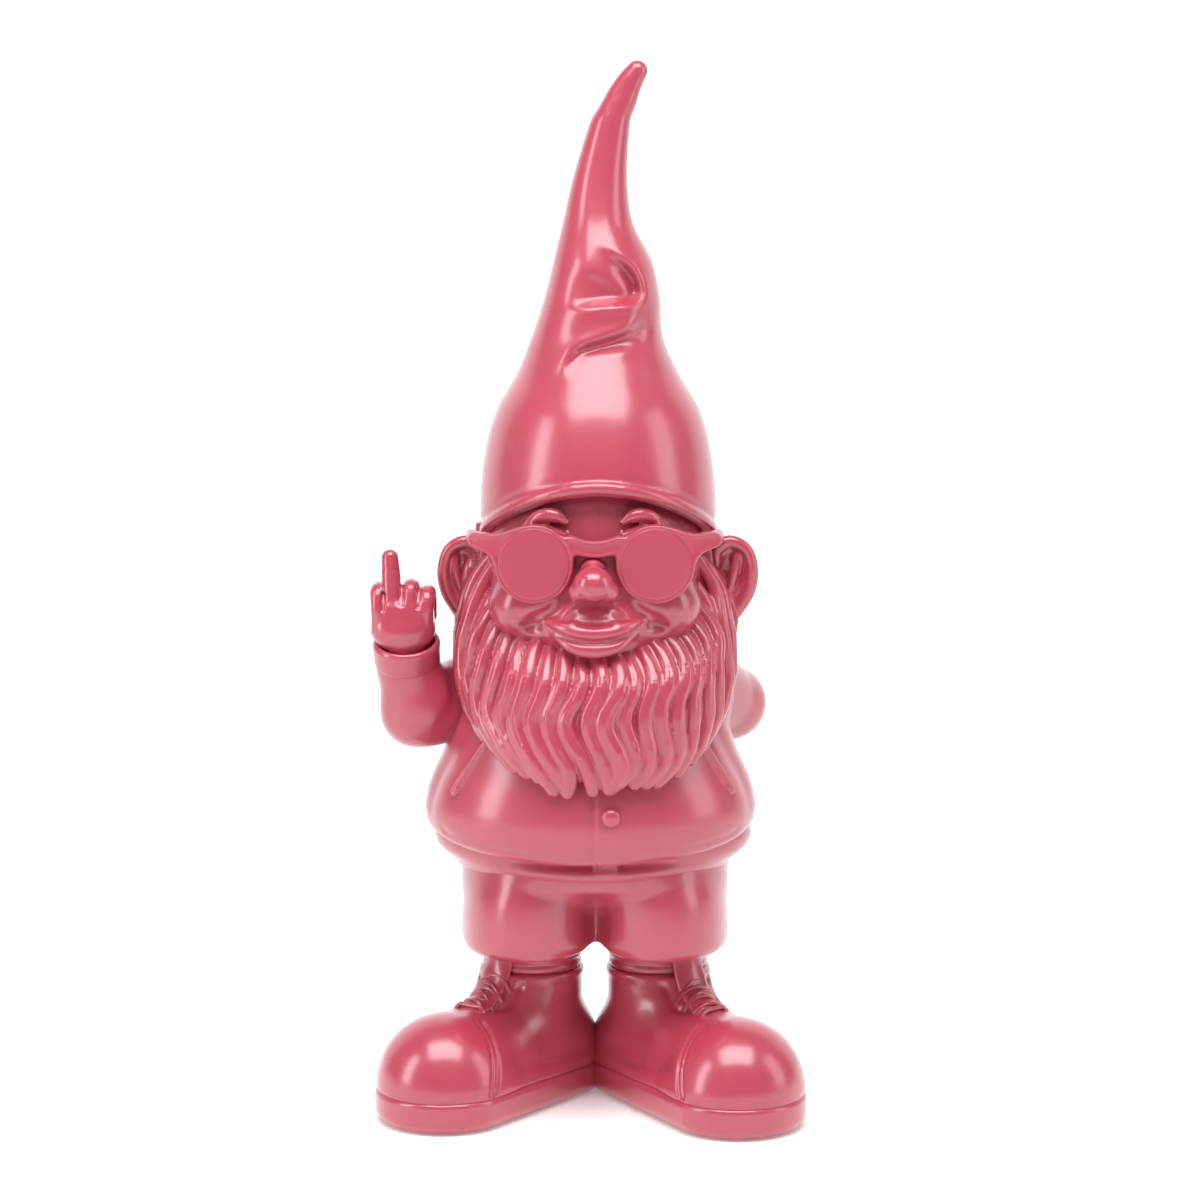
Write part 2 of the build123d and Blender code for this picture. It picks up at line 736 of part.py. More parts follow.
# ---------------------------------------------------------------- arms and hands
def build_arm(side, shoulder, elbow, wrist, neighbours):
    """A bent sleeve with its turned-back cuff, ready for the hand that stands in the cuff."""
    elbow, wrist = Vector(elbow), Vector(wrist)
    along = (wrist - elbow).normalized()
    cuff_base = Plane(origin=wrist, x_dir=(0, 1, 0), z_dir=along)
    with BuildPart() as sleeve:
        add(limb(shoulder, elbow, sleeve_radius + 1.5, sleeve_radius))
        add(limb(elbow, wrist, sleeve_radius, forearm_radius, flat_end=True))
        for neighbour in neighbours:
            add(pieces[neighbour].part, mode=Mode.SUBTRACT)
    keep(f"sleeve_{side}", sleeve)

    with BuildPart() as cuff:
        with BuildSketch(cuff_base):
            Circle(forearm_radius + cuff_proud)
        extrude(amount=cuff_height)
        fillet(cuff.edges(), cuff_round)
        with BuildSketch(cuff_base.offset(cuff_height)):
            Circle(wrist_radius + cuff_clearance)
        extrude(amount=-cuff_lip, mode=Mode.SUBTRACT)
        for neighbour in neighbours:
            add(pieces[neighbour].part, mode=Mode.SUBTRACT)
    keep(f"cuff_{side}", cuff)
    return cuff_base.offset(cuff_height - cuff_lip)


# Right arm: raised, with the back of the hand turned to the front
right_wrist = build_arm("right", right_shoulder, right_elbow, right_cuff, ("jacket", "beard", "hair"))
with BuildPart() as hand_right:
    with BuildSketch(right_wrist):
        Circle(wrist_radius)
    extrude(amount=palm_rise)
    palm = right_wrist.origin + right_wrist.z_dir * (palm_rise + palm_half_height * 0.62)
    knuckles = palm + Vector(0, 0, palm_half_height * 0.62)
    heel_of_hand = palm - Vector(0, 0, palm_half_height * 0.4)
    # Palm, widest at the knuckles
    for share in (-1, 0, 1):
        aside = Vector(share * (palm_half_width - palm_thickness), 0, 0)
        add(limb(heel_of_hand + aside * 0.7, knuckles + aside, palm_thickness, finger_radius + 1.0))
    # The middle finger stands up; the others are folded over, their knuckles on top
    root = knuckles + Vector(middle_finger_offset, 0, -2)
    add(limb(root, root + Vector(-0.6, 0, finger_length), finger_radius + 0.9, finger_radius))
    for offset, drop in folded_fingers:
        knuckle = knuckles + Vector(offset, -0.5, -drop)
        bend = knuckle + Vector(0, finger_fold, -1.5)
        add(limb(knuckle, bend, finger_radius + 0.7, finger_radius))
        add(limb(bend, bend - Vector(0, 0, 7.5), finger_radius, finger_radius * 0.9))
    thumb = palm + Vector(-palm_half_width + 3, finger_fold * 0.6, -3)
    add(limb(thumb, thumb + Vector(9, 2.5, 4), finger_radius + 0.4, finger_radius))
    add(pieces["cuff_right"].part, mode=Mode.SUBTRACT)
keep("hand_right", hand_right)

# Left arm: behind the back, a loose fist resting in the small of it
left_wrist = build_arm("left", left_shoulder, left_elbow, left_cuff, ("jacket", "beard", "hair"))
with BuildPart() as hand_left:
    with BuildSketch(left_wrist):
        Circle(wrist_radius)
    extrude(amount=palm_rise)
    palm = left_wrist.origin + left_wrist.z_dir * (palm_rise + palm_half_height * 0.5)
    add(egg(palm, palm_half_width * 0.9, palm_half_height, left_wrist.z_dir))
    for finger in range(4):
        tip = palm + left_wrist.z_dir * palm_half_height * 0.55 + Vector(0, 0, 6.6 - finger * 4.4)
        add(limb(tip + Vector(3, -2, 0), tip + Vector(-1, 1.5, 0), finger_radius, finger_radius * 0.9))
    add(jacket.part, mode=Mode.SUBTRACT)
    add(pieces["cuff_left"].part, mode=Mode.SUBTRACT)
keep("hand_left", hand_left)

# ---------------------------------------------------------------- hat
hat_levels = (  # share of the height, middle in X, middle in Y, half width, depth over width, tilt
    (0.0, -0.2, 0.0, hat_half_width - 0.9, 1.12, hat_tilt),
    (0.052, 0.0, 1.0, hat_half_width, 1.11, hat_tilt * 0.9),
    (0.168, -0.2, 1.8, hat_half_width * 0.96, 1.08, hat_tilt * 0.6),
    (0.26, -0.1, 2.0, hat_half_width * 0.848, 1.06, hat_tilt * 0.35),
    (0.36, -0.5, 1.5, hat_half_width * 0.63, 1.05, 4.0),
    (0.49, 1.15, -0.5, hat_half_width * 0.494, 1.08, 0.0),
    (0.58, 1.3, 2.6, hat_half_width * 0.407, 1.03, 0.0),
    (0.67, -0.1, 3.6, hat_half_width * 0.29, 1.03, 0.0),
    (0.775, 0.9, 3.2, hat_half_width * 0.214, 1.03, 0.0),
    (0.878, 4.4, 2.6, hat_half_width * 0.163, 1.03, 0.0),
    (0.95, 9.1, 2.0, hat_half_width * 0.13, 1.03, 0.0),
)
with BuildPart() as hat:
    for share, middle_x, middle_y, half_width, deeper, tilt in hat_levels:
        lean = radians(tilt)
        place = (hat_shift + middle_x, middle_y, hat_seat_z + hat_height * share)
        with BuildSketch(Plane(origin=place, x_dir=(1, 0, 0), z_dir=(0, sin(lean), cos(lean)))):
            Ellipse(half_width, half_width * deeper)
    loft()
    tip_start = Vector(hat_shift + 9.1, 2.0, hat_seat_z + hat_height * 0.95 - 0.5)
    tip = Vector(hat_shift + 12.6, 1.6, hat_seat_z + hat_height - tip_radius)
    add(limb(tip_start, tip, hat_half_width * 0.125, tip_radius))
keep("hat", hat)

# ---------------------------------------------------------------- export
# The origin is on the ground, under the middle of the whole figure
copies = [piece.part.moved(Location((0, 0, 0))) for piece in pieces.values()]
whole = Compound(children=copies).bounding_box()
to_origin = Location((-whole.center().X, -whole.center().Y, 0))
for name, piece in pieces.items():
    piece.part = piece.part.moved(to_origin)
    piece.part.label = name
    export_step(piece.part, f"parts/{name}.step")
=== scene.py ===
"""Dresses the garden gnome, a resin casting under one glossy coat of coral lacquer.

Each sub-assembly is a class. Its forms are worked out like clay, as a distance field where
masses are merged, carved and creased, and the field's skin then becomes the mesh.
Lengths inside the clay are millimetres from the figure's middle; meshes are in metres.
X runs to the figure's left, Y to its back and Z up.
"""

import logging
from dataclasses import dataclass
from enum import Enum
from itertools import product
from math import cos, pi, radians, sin

import bpy
import numpy as np
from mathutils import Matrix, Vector


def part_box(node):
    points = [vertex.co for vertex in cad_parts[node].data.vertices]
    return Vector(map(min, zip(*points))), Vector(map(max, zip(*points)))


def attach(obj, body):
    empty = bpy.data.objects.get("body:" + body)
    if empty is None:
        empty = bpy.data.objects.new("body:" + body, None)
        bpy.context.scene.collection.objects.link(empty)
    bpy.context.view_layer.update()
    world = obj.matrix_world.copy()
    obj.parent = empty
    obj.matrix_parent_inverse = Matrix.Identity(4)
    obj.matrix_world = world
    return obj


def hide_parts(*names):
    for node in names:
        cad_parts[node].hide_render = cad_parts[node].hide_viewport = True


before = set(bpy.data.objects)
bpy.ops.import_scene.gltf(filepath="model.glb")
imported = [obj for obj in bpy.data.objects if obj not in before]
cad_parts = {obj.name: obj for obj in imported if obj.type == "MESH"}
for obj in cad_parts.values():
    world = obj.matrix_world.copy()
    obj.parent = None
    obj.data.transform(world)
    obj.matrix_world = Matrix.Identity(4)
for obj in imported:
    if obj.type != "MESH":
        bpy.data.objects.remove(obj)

log = logging.getLogger("gnome")
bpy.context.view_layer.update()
MM = 0.001
Point = tuple[float, float, float]
Array = np.ndarray
Window = tuple[tuple[slice, ...], Array, Array, Array]
TINY = 1e-6  # keeps a divisor away from zero
FAR = 1e4  # millimetres, further than the figure reaches
EVERYWHERE = (np.full(3, -FAR), np.full(3, FAR))
CORNERS = list(product((0, 1), repeat=3))  # of a grid cell
TURN = np.linspace(0, 2 * pi, 61)  # the angles of a rope that runs right round


class Side(Enum):
    """Which side of the figure a piece is on, with the sign of its X."""

    LEFT = 1
    RIGHT = -1

    @property
    def label(self) -> str:
        """The ending of the piece's name."""
        return self.name.lower()


# ------ the figure's frame
class Figure:
    """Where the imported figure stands, and its nodes' boxes in millimetres from its middle."""

    def __init__(self) -> None:
        """Takes the middle from the left sole's inner edge and the jacket's depth."""
        sole_low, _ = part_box("sole_left")
        jacket_low, jacket_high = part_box("jacket")
        self.middle = np.array([sole_low[0], (jacket_low[1] + jacket_high[1]) / 2, 0.0])

    def box(self, node: str) -> tuple[Array, Array]:
        """The lowest and highest corners of a node."""
        low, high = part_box(node)
        return (np.array(low) - self.middle) / MM, (np.array(high) - self.middle) / MM

    def centre(self, node: str) -> Array:
        """The middle of a node's box."""
        low, high = self.box(node)
        return (low + high) / 2


FIGURE = Figure()


# ------ clay
def soft_min(a: Array, b: Array, blend: float) -> Array:
    """The smaller of two distances, rounded over where they are nearly equal.

    Args:
        a: distances from one form.
        b: distances from another form.
        blend: how close the two distances are where the rounding begins.

    Returns:
        The distances from both forms together.
    """
    if blend <= 0:
        return np.minimum(a, b)
    near = np.maximum(blend - np.abs(a - b), 0) / blend
    return np.minimum(a, b) - near * near * (blend * 0.25)


def turned(x: Array, y: Array, z: Array, centre: Point, axes: Array) -> tuple[Array, Array, Array]:
    """Coordinates about a centre, along three given axes."""
    dx, dy, dz = x - centre[0], y - centre[1], z - centre[2]
    return tuple(a[0] * dx + a[1] * dy + a[2] * dz for a in axes)


def axes_from(turn: Point) -> Array:
    """The axes of a turned form.

    Args:
        turn: degrees about X, then Y, then Z.

    Returns:
        The three axes as rows.
    """
    a, b, c = (radians(v) for v in turn)
    about_x = np.array([[1, 0, 0], [0, cos(a), -sin(a)], [0, sin(a), cos(a)]])
    about_y = np.array([[cos(b), 0, sin(b)], [0, 1, 0], [-sin(b), 0, cos(b)]])
    about_z = np.array([[cos(c), -sin(c), 0], [sin(c), cos(c), 0], [0, 0, 1]])
    return (about_z @ about_y @ about_x).T


def through(points: list[Point], count: int) -> Array:
    """A smooth run of points through the given ones.

    Args:
        points: the points to pass through, of any number of coordinates.
        count: how many points the smooth run has.

    Returns:
        The points as rows.
    """
    knots = np.array(points, dtype=float)
    tangents = np.gradient(knots, axis=0)
    places = np.linspace(0, len(knots) - 1, count)
    low = np.minimum(places.astype(int), len(knots) - 2)
    t = (places - low)[:, None]
    a, b, m, n = knots[low], knots[low + 1], tangents[low], tangents[low + 1]
    return (
        (2 * t**3 - 3 * t**2 + 1) * a
        + (t**3 - 2 * t**2 + t) * m
        + (3 * t**2 - 2 * t**3) * b
        + (t**3 - t**2) * n
    )


def tapered(count: int, places: tuple[float, ...], radii: tuple[float, ...]) -> Array:
    """Radii for each point of a rope, from a few given at shares of its length."""
    return np.interp(np.linspace(0, 1, count), places, radii)


def oval(u: Array, v: Array, a: Array | float, b: Array | float) -> Array:
    """The distance from an ellipse, negative inside.

    Args:
        u: places along the first half size, from the middle.
        v: places along the second.
        a: the first half size.
        b: the second.

    Returns:
        The distances, which are true close to the ellipse.
    """
    level = np.sqrt((u / a) ** 2 + (v / b) ** 2)
    slope = np.sqrt((u / a**2) ** 2 + (v / b**2) ** 2)
    return level * (level - 1) / np.maximum(slope, TINY)


def rounded_edge(a: Array, b: Array, rounding: float) -> Array:
    """The distance from a body whose two faces meet in a rounded edge.

    Args:
        a: distances from one face.
        b: distances from the other face.
        rounding: the edge's radius.

    Returns:
        The distances from the body.
    """
    a, b = a + rounding, b + rounding
    return np.hypot(np.maximum(a, 0), np.maximum(b, 0)) + np.minimum(np.maximum(a, b), 0) - rounding


class Form:
    """A form that can be merged into clay or carved out of it.

    Its distance method takes places in millimetres and answers with distances in millimetres
    from the form's skin, negative inside. The low and high corners are those of its box.
    """

    low, high = EVERYWHERE

    def distance(self, x: Array, y: Array, z: Array) -> Array:
        """The distance from the form's skin at places x, y and z, negative inside."""
        raise NotImplementedError


class Ball(Form):
    """An ellipsoid."""

    def __init__(self, centre: Point, radii: Point, turn: Point = (0, 0, 0)) -> None:
        """Places the ellipsoid.

        Args:
            centre: its middle.
            radii: its half sizes.
            turn: degrees about X, Y and Z.
        """
        self.centre, self.radii, self.axes = centre, np.array(radii, dtype=float), axes_from(turn)
        reach = max(radii)
        self.low, self.high = np.array(centre) - reach, np.array(centre) + reach

    def distance(self, x: Array, y: Array, z: Array) -> Array:
        """The ellipsoid's distance, as Form says."""
        u, v, w = turned(x, y, z, self.centre, self.axes)
        a, b, c = self.radii
        level = np.sqrt((u / a) ** 2 + (v / b) ** 2 + (w / c) ** 2)
        slope = np.sqrt((u / a**2) ** 2 + (v / b**2) ** 2 + (w / c**2) ** 2)
        return level * (level - 1) / np.maximum(slope, TINY)


class Slab(Form):
    """A rounded block."""

    def __init__(self, centre: Point, half: Point, rounding: float) -> None:
        """Places the block.

        Args:
            centre: its middle.
            half: its half sizes.
            rounding: the radius of its edges.
        """
        self.centre, self.half, self.rounding = centre, np.array(half, dtype=float), rounding
        reach = float(np.linalg.norm(self.half))
        self.low, self.high = np.array(centre) - reach, np.array(centre) + reach

    def distance(self, x: Array, y: Array, z: Array) -> Array:
        """The block's distance, as Form says."""
        offsets = [place - middle for place, middle in zip((x, y, z), self.centre)]
        parts = [np.abs(offset) - (half - self.rounding) for offset, half in zip(offsets, self.half)]
        outside = np.sqrt(sum(np.maximum(part, 0) ** 2 for part in parts))
        return outside + np.minimum(np.maximum(np.maximum(parts[0], parts[1]), parts[2]), 0) - self.rounding


class Rope(Form):
    """A round rope through points, whose radius changes along it and which may be flattened."""

    def __init__(self, points: Array, flat: Point | None = None, ratio: float = 1.0) -> None:
        """Lays the rope.

        Args:
            points: rows of x, y, z and radius.
            flat: unit direction along which the rope is flattened, or None.
            ratio: how much flatter it is that way.
        """
        self.points = np.array(points, dtype=float)
        self.flat, self.ratio = flat, ratio
        radii = self.points[:, 3:4]
        self.low = (self.points[:, :3] - radii).min(axis=0)
        self.high = (self.points[:, :3] + radii).max(axis=0)

    @classmethod
    def through(cls, points: list[Point], count: int, radii: float | Array) -> "Rope":
        """A rope along a smooth run of some points, with one radius or one for each."""
        return cls(np.column_stack([through(points, count), np.broadcast_to(radii, count)]))

    def distance(self, x: Array, y: Array, z: Array) -> Array:
        """The rope's distance, as Form says."""
        best = None
        for start, end in zip(self.points, self.points[1:]):
            along = end[:3] - start[:3]
            length_squared = float(along @ along) or TINY
            dx, dy, dz = x - start[0], y - start[1], z - start[2]
            share = np.clip((dx * along[0] + dy * along[1] + dz * along[2]) / length_squared, 0, 1)
            dx, dy, dz = dx - share * along[0], dy - share * along[1], dz - share * along[2]
            square = dx * dx + dy * dy + dz * dz
            if self.flat is not None:
                rise = dx * self.flat[0] + dy * self.flat[1] + dz * self.flat[2]
                square = square + rise * rise * (self.ratio**2 - 1)
            gap = np.sqrt(square) - (start[3] + share * (end[3] - start[3]))
            best = gap if best is None else np.minimum(best, gap)
        return best


class Stack(Form):
    """A smooth mass through level ellipses."""

    def __init__(self, levels: list[tuple[float, ...]], power: float = 2.0) -> None:
        """Stacks the levels.

        Args:
            levels: rows of height, middle in X, middle in Y, half width and half depth.
            power: 2 for ellipses, more for squarer sections.
        """
        smooth = through(levels, 12 * len(levels))
        self.rows, self.power = smooth[np.argsort(smooth[:, 0])], power
        reach = self.rows[:, 3:5].max()
        self.low = np.array([self.rows[:, 1].min() - reach, self.rows[:, 2].min() - reach, self.rows[0, 0]])
        self.high = np.array([self.rows[:, 1].max() + reach, self.rows[:, 2].max() + reach, self.rows[-1, 0]])

    def distance(self, x: Array, y: Array, z: Array) -> Array:
        """The mass's distance, as Form says."""
        columns = [np.interp(z, self.rows[:, 0], self.rows[:, column]) for column in range(1, 5)]
        middle_x, middle_y, half_width, half_depth = columns
        u, v = np.abs(x - middle_x), np.abs(y - middle_y)
        if self.power == 2.0:
            side = oval(u, v, half_width, half_depth)
        else:
            level = ((u / half_width) ** self.power + (v / half_depth) ** self.power) ** (1 / self.power)
            side = (level - 1) * np.minimum(half_width, half_depth)
        return np.maximum(side, np.maximum(self.rows[0, 0] - z, z - self.rows[-1, 0]))


class Band(Form):
    """A tube that lies level in a ring."""

    def __init__(self, centre: Point, radius: float, tube: tuple[float, float]) -> None:
        """Places the ring.

        Args:
            centre: its middle.
            radius: its radius, out to the middle of the tube.
            tube: the tube's half thickness and half height.
        """
        self.centre, self.radius, self.tube = centre, radius, tube
        reach = radius + max(tube)
        self.low, self.high = np.array(centre) - reach, np.array(centre) + reach

    def distance(self, x: Array, y: Array, z: Array) -> Array:
        """The tube's distance, as Form says."""
        across = np.hypot(x - self.centre[0], y - self.centre[1]) - self.radius
        ring = np.sqrt((across / self.tube[0]) ** 2 + ((z - self.centre[2]) / self.tube[1]) ** 2)
        return (ring - 1) * min(self.tube)


class Half(Form):
    """All of space on one side of a plane."""

    def __init__(self, point: Point, normal: Point) -> None:
        """Places the plane.

        Args:
            point: a point on it.
            normal: a direction out of the half that counts as inside, of any length.
        """
        self.point = np.array(point, dtype=float)
        self.normal = np.array(normal, dtype=float) / np.linalg.norm(normal)

    def distance(self, x: Array, y: Array, z: Array) -> Array:
        """The plane's distance, as Form says."""
        p, n = self.point, self.normal
        return (x - p[0]) * n[0] + (y - p[1]) * n[1] + (z - p[2]) * n[2]


class Clay:
    """A block of clay: distances on a regular grid, in millimetres."""

    QUICK_STEP = 1.7
    EMPTY = 50.0  # the distance all over a block that holds nothing yet
    OUTSIDE = 0.05  # the least distance in the block's outermost layer

    def __init__(self, low: Point, high: Point, step: float) -> None:
        """Sets up an empty block.

        Args:
            low: its lowest corner.
            high: its highest corner.
            step: the grid's spacing.
        """
        self.low, self.step = np.array(low, dtype=float), step
        counts = np.ceil((np.array(high) - self.low) / step).astype(int) + 1
        self.axes = [self.low[k] + step * np.arange(counts[k]) for k in range(3)]
        self.field = np.full(counts, self.EMPTY, dtype=np.float32)

    def window(self, low: Array, high: Array) -> Window:
        """The part of the grid that holds a box.

        Args:
            low: the box's lowest corner.
            high: its highest corner.

        Returns:
            The slices that cut the part out, and its x, y and z, which broadcast over it.
        """
        cut = []
        for k in range(3):
            first = max(int((low[k] - self.low[k]) / self.step), 0)
            last = min(int((high[k] - self.low[k]) / self.step) + 2, len(self.axes[k]))
            cut.append(slice(min(first, last), last))
        x, y, z = (self.axes[k][cut[k]].astype(np.float32) for k in range(3))
        return tuple(cut), x[:, None, None], y[None, :, None], z[None, None, :]

    def grid(self) -> tuple[Array, Array, Array]:
        """The x, y and z of the whole block, which broadcast over it."""
        return self.window(*EVERYWHERE)[1:]

    def around(self, form: Form, blend: float) -> Window:
        """The part of the grid that a form and its fillet reach."""
        margin = blend + 3 * self.step
        return self.window(form.low - margin, form.high + margin)

    def merge(self, form: Form, blend: float) -> None:
        """Adds a form, with a fillet of about the blend."""
        cut, x, y, z = self.around(form, blend)
        self.field[cut] = soft_min(self.field[cut], form.distance(x, y, z), blend)

    def carve(self, form: Form, blend: float) -> None:
        """Takes a form away, with its edges rounded by about the blend."""
        cut, x, y, z = self.around(form, blend)
        self.field[cut] = -soft_min(-self.field[cut], form.distance(x, y, z), blend)

    def trim(self, form: Form, blend: float) -> None:
        """Keeps only what lies inside a form, with its edges rounded by about the blend."""
        self.field = -soft_min(-self.field, -form.distance(*self.grid()), blend)

    def fold(self, path: Array, depth: float, reach: float, lip: float, behind: float) -> None:
        """Presses a one-sided fold into the front: sharp at the path and fading to its left.

        Args:
            path: rows of x and z along the fold, the pressed side on their left.
            depth: how far the clay is pressed in beside the path.
            reach: how far the pressed side takes to fade out.
            lip: how far the other side is raised.
            behind: only clay in front of this y is pressed.
        """
        crest, shoulder = 0.9, 2.4  # the lip's width towards the pressed side and away from it
        fading = 0.24  # the share of the path over which either end dies out
        easing = 6  # how far in front of "behind" the fold has its full depth
        x, z = self.axes[0][:, None], self.axes[2][None, :]
        gap = np.full((len(self.axes[0]), len(self.axes[2])), FAR)
        left = np.ones_like(gap)
        ends, total = np.zeros_like(gap), np.zeros_like(gap)
        for number, (start, end) in enumerate(zip(path, path[1:])):
            ax, az = end[0] - start[0], end[1] - start[1]
            share = np.clip(((x - start[0]) * ax + (z - start[1]) * az) / (ax * ax + az * az), 0, 1)
            dx, dz = x - start[0] - share * ax, z - start[1] - share * az
            distance = np.hypot(dx, dz)
            nearer = distance < gap
            gap = np.where(nearer, distance, gap)
            left = np.where(nearer, np.sign(ax * dz - az * dx), left)
            weight = np.exp(-distance / crest) + 1e-15
            place = (number + share) / (len(path) - 1)
            fade = np.clip(np.minimum(place, 1 - place) / fading, 0, 1)
            ends += weight * fade * fade * (3 - 2 * fade)
            total += weight
        ends /= total
        rise = np.clip(gap / shoulder, 0, 1)
        pressed = depth * rise * rise * (3 - 2 * rise) * np.exp(-((gap / reach) ** 1.5))
        raised = -lip * np.exp(-((gap / np.where(left > 0, crest, shoulder)) ** 2))
        change = (np.where(left > 0, pressed, 0) + raised) * ends
        front = np.clip((behind - self.axes[1]) / easing, 0, 1)
        self.field += (change[:, None, :] * front[None, :, None]).astype(np.float32)

    def soften(self, low: Point, high: Point, passes: int) -> None:
        """Smooths the clay inside a box.

        Args:
            low: the box's lowest corner.
            high: its highest corner.
            passes: how often each distance is averaged with its neighbours'.
        """
        cut = self.window(np.array(low, dtype=float), np.array(high, dtype=float))[0]
        field = self.field[cut]
        for _ in range(passes):
            for k in range(3):
                inner, one, two = ([slice(None)] * 3 for _ in range(3))
                inner[k], one[k], two[k] = slice(1, -1), slice(0, -2), slice(2, None)
                middle = field[tuple(inner)]
                field[tuple(inner)] = 0.5 * middle + 0.25 * (field[tuple(one)] + field[tuple(two)])

    def groove(self, path: Array, depth: float, width: float) -> None:
        """Presses a groove (or, with a negative depth, raises a ridge) along a path in space.

        Args:
            path: rows of x, y and z.
            depth: how deep the groove is where the skin meets the path.
            width: its half width.
        """
        path = np.asarray(path, dtype=float)
        margin = width * 2.6
        cut, x, y, z = self.window(path.min(axis=0) - margin, path.max(axis=0) + margin)
        rope = Rope(np.column_stack([path, np.zeros(len(path))]))
        gap = rope.distance(x, y, z)
        self.field[cut] += (depth * np.exp(-((gap / width) ** 2))).astype(np.float32)

    def score(self, plane: Half, depth: float, width: float, near: Form) -> None:
        """Scores a line where the skin meets a plane.

        Args:
            plane: the plane that the line lies in.
            depth: how deep the line is.
            width: its half width.
            near: a form outside which nothing is scored.
        """
        fading = 1.5  # how far inside the form the line has its full depth
        cut, x, y, z = self.window(near.low - 1, near.high + 1)
        gap = plane.distance(x, y, z)
        inside = np.clip(-near.distance(x, y, z) / fading, 0, 1)
        self.field[cut] += (depth * np.exp(-((gap / width) ** 2)) * inside).astype(np.float32)

    def probe(self, points: Array, values: Array, missing: float) -> float:
        """Finds where a row of points enters the clay.

        Args:
            points: the points, one row each, in the order that they are tried.
            values: what is wanted of each, such as its height.
            missing: the answer where none is inside.

        Returns:
            The value of the first point inside.
        """
        inside = np.nonzero(self.sample(points) < 0)[0]
        return float(values[inside[0]]) if len(inside) else missing

    def front(self, x: float, z: float) -> float:
        """The y of the skin's foremost point at an x and a height."""
        depths = np.arange(self.axes[1][0], 0.0, 0.25)
        return self.probe(np.array([[x, y, z] for y in depths]), depths, 0.0)

    def sample(self, points: Array) -> Array:
        """The distance at any points, between the grid's own.

        Args:
            points: the points, one row each.

        Returns:
            A distance for each.
        """
        place = (points - self.low) / self.step
        base = np.clip(place.astype(int), 0, np.array(self.field.shape) - 2)
        t = place - base
        i, j, k = base.T
        shares = np.stack([1 - t, t])
        total = np.zeros(len(points))
        for a, b, c in CORNERS:
            weight = shares[a, :, 0] * shares[b, :, 1] * shares[c, :, 2]
            total += weight * self.field[i + a, j + b, k + c]
        return total

    def skin(self) -> tuple[Array, Array]:
        """The clay's surface.

        Returns:
            The vertices as rows, and the faces as rows of four vertex numbers.
        """
        self._close()
        inside = self.field < 0
        vertices, number = self._vertices(inside)
        faces = self._faces(inside, number)
        return self._settle(vertices, faces), faces

    def _close(self) -> None:
        """Makes the block's outermost layer empty, so that the skin is closed there."""
        for k in range(3):
            for end in (0, -1):
                layer = tuple(end if n == k else slice(None) for n in range(3))
                self.field[layer] = np.maximum(self.field[layer], self.OUTSIDE)

    def _vertices(self, inside: Array) -> tuple[Array, Array]:
        """Puts a vertex into each grid cell that the skin runs through.

        Args:
            inside: which grid points are inside the clay.

        Returns:
            The vertices as rows, and the number of each cell's vertex, or -1.
        """
        field = self.field
        nx, ny, nz = (n - 1 for n in field.shape)
        count = sum(inside[a : a + nx, b : b + ny, c : c + nz].astype(np.uint8) for a, b, c in CORNERS)
        i, j, k = np.nonzero((count > 0) & (count < len(CORNERS)))
        number = np.full((nx, ny, nz), -1, dtype=np.int64)
        number[i, j, k] = np.arange(len(i))
        total, crossings = np.zeros((len(i), 3)), np.zeros(len(i))
        for axis in range(3):
            for corner in CORNERS:
                if corner[axis]:
                    continue
                far = tuple(1 if n == axis else v for n, v in enumerate(corner))
                start = field[i + corner[0], j + corner[1], k + corner[2]]
                end = field[i + far[0], j + far[1], k + far[2]]
                crosses = (start < 0) != (end < 0)
                share = np.where(crosses, start / np.where(crosses, start - end, 1), 0)
                place = np.array(corner, dtype=float)[None, :].repeat(len(i), axis=0)
                place[:, axis] += share
                total += place * crosses[:, None]
                crossings += crosses
        return self.low + (np.column_stack([i, j, k]) + total / crossings[:, None]) * self.step, number

    def _faces(self, inside: Array, number: Array) -> Array:
        """Puts a face across each grid edge that the skin crosses.

        Args:
            inside: which grid points are inside the clay.
            number: the number of each cell's vertex.

        Returns:
            The faces as rows of four vertex numbers, facing outwards.
        """
        nx, ny, nz = number.shape
        faces = []
        for axis in range(3):
            one, two = (axis + 1) % 3, (axis + 2) % 3
            near = [slice(1, nx), slice(1, ny), slice(1, nz)]
            near[axis] = slice(0, (nx, ny, nz)[axis])
            far = list(near)
            far[axis] = slice(1, (nx, ny, nz)[axis] + 1)
            first, second = inside[tuple(near)], inside[tuple(far)]
            found = np.argwhere(first != second)
            start = found + np.array([s.start for s in near])
            outward = first[tuple(found.T)]
            ring = []
            for da, db in ((-1, -1), (0, -1), (0, 0), (-1, 0)):
                cell = start.copy()
                cell[:, one] += da
                cell[:, two] += db
                ring.append(number[tuple(cell.T)])
            quad = np.column_stack(ring)
            quad[~outward] = quad[~outward][:, ::-1]
            faces.append(quad)
        return np.concatenate(faces)

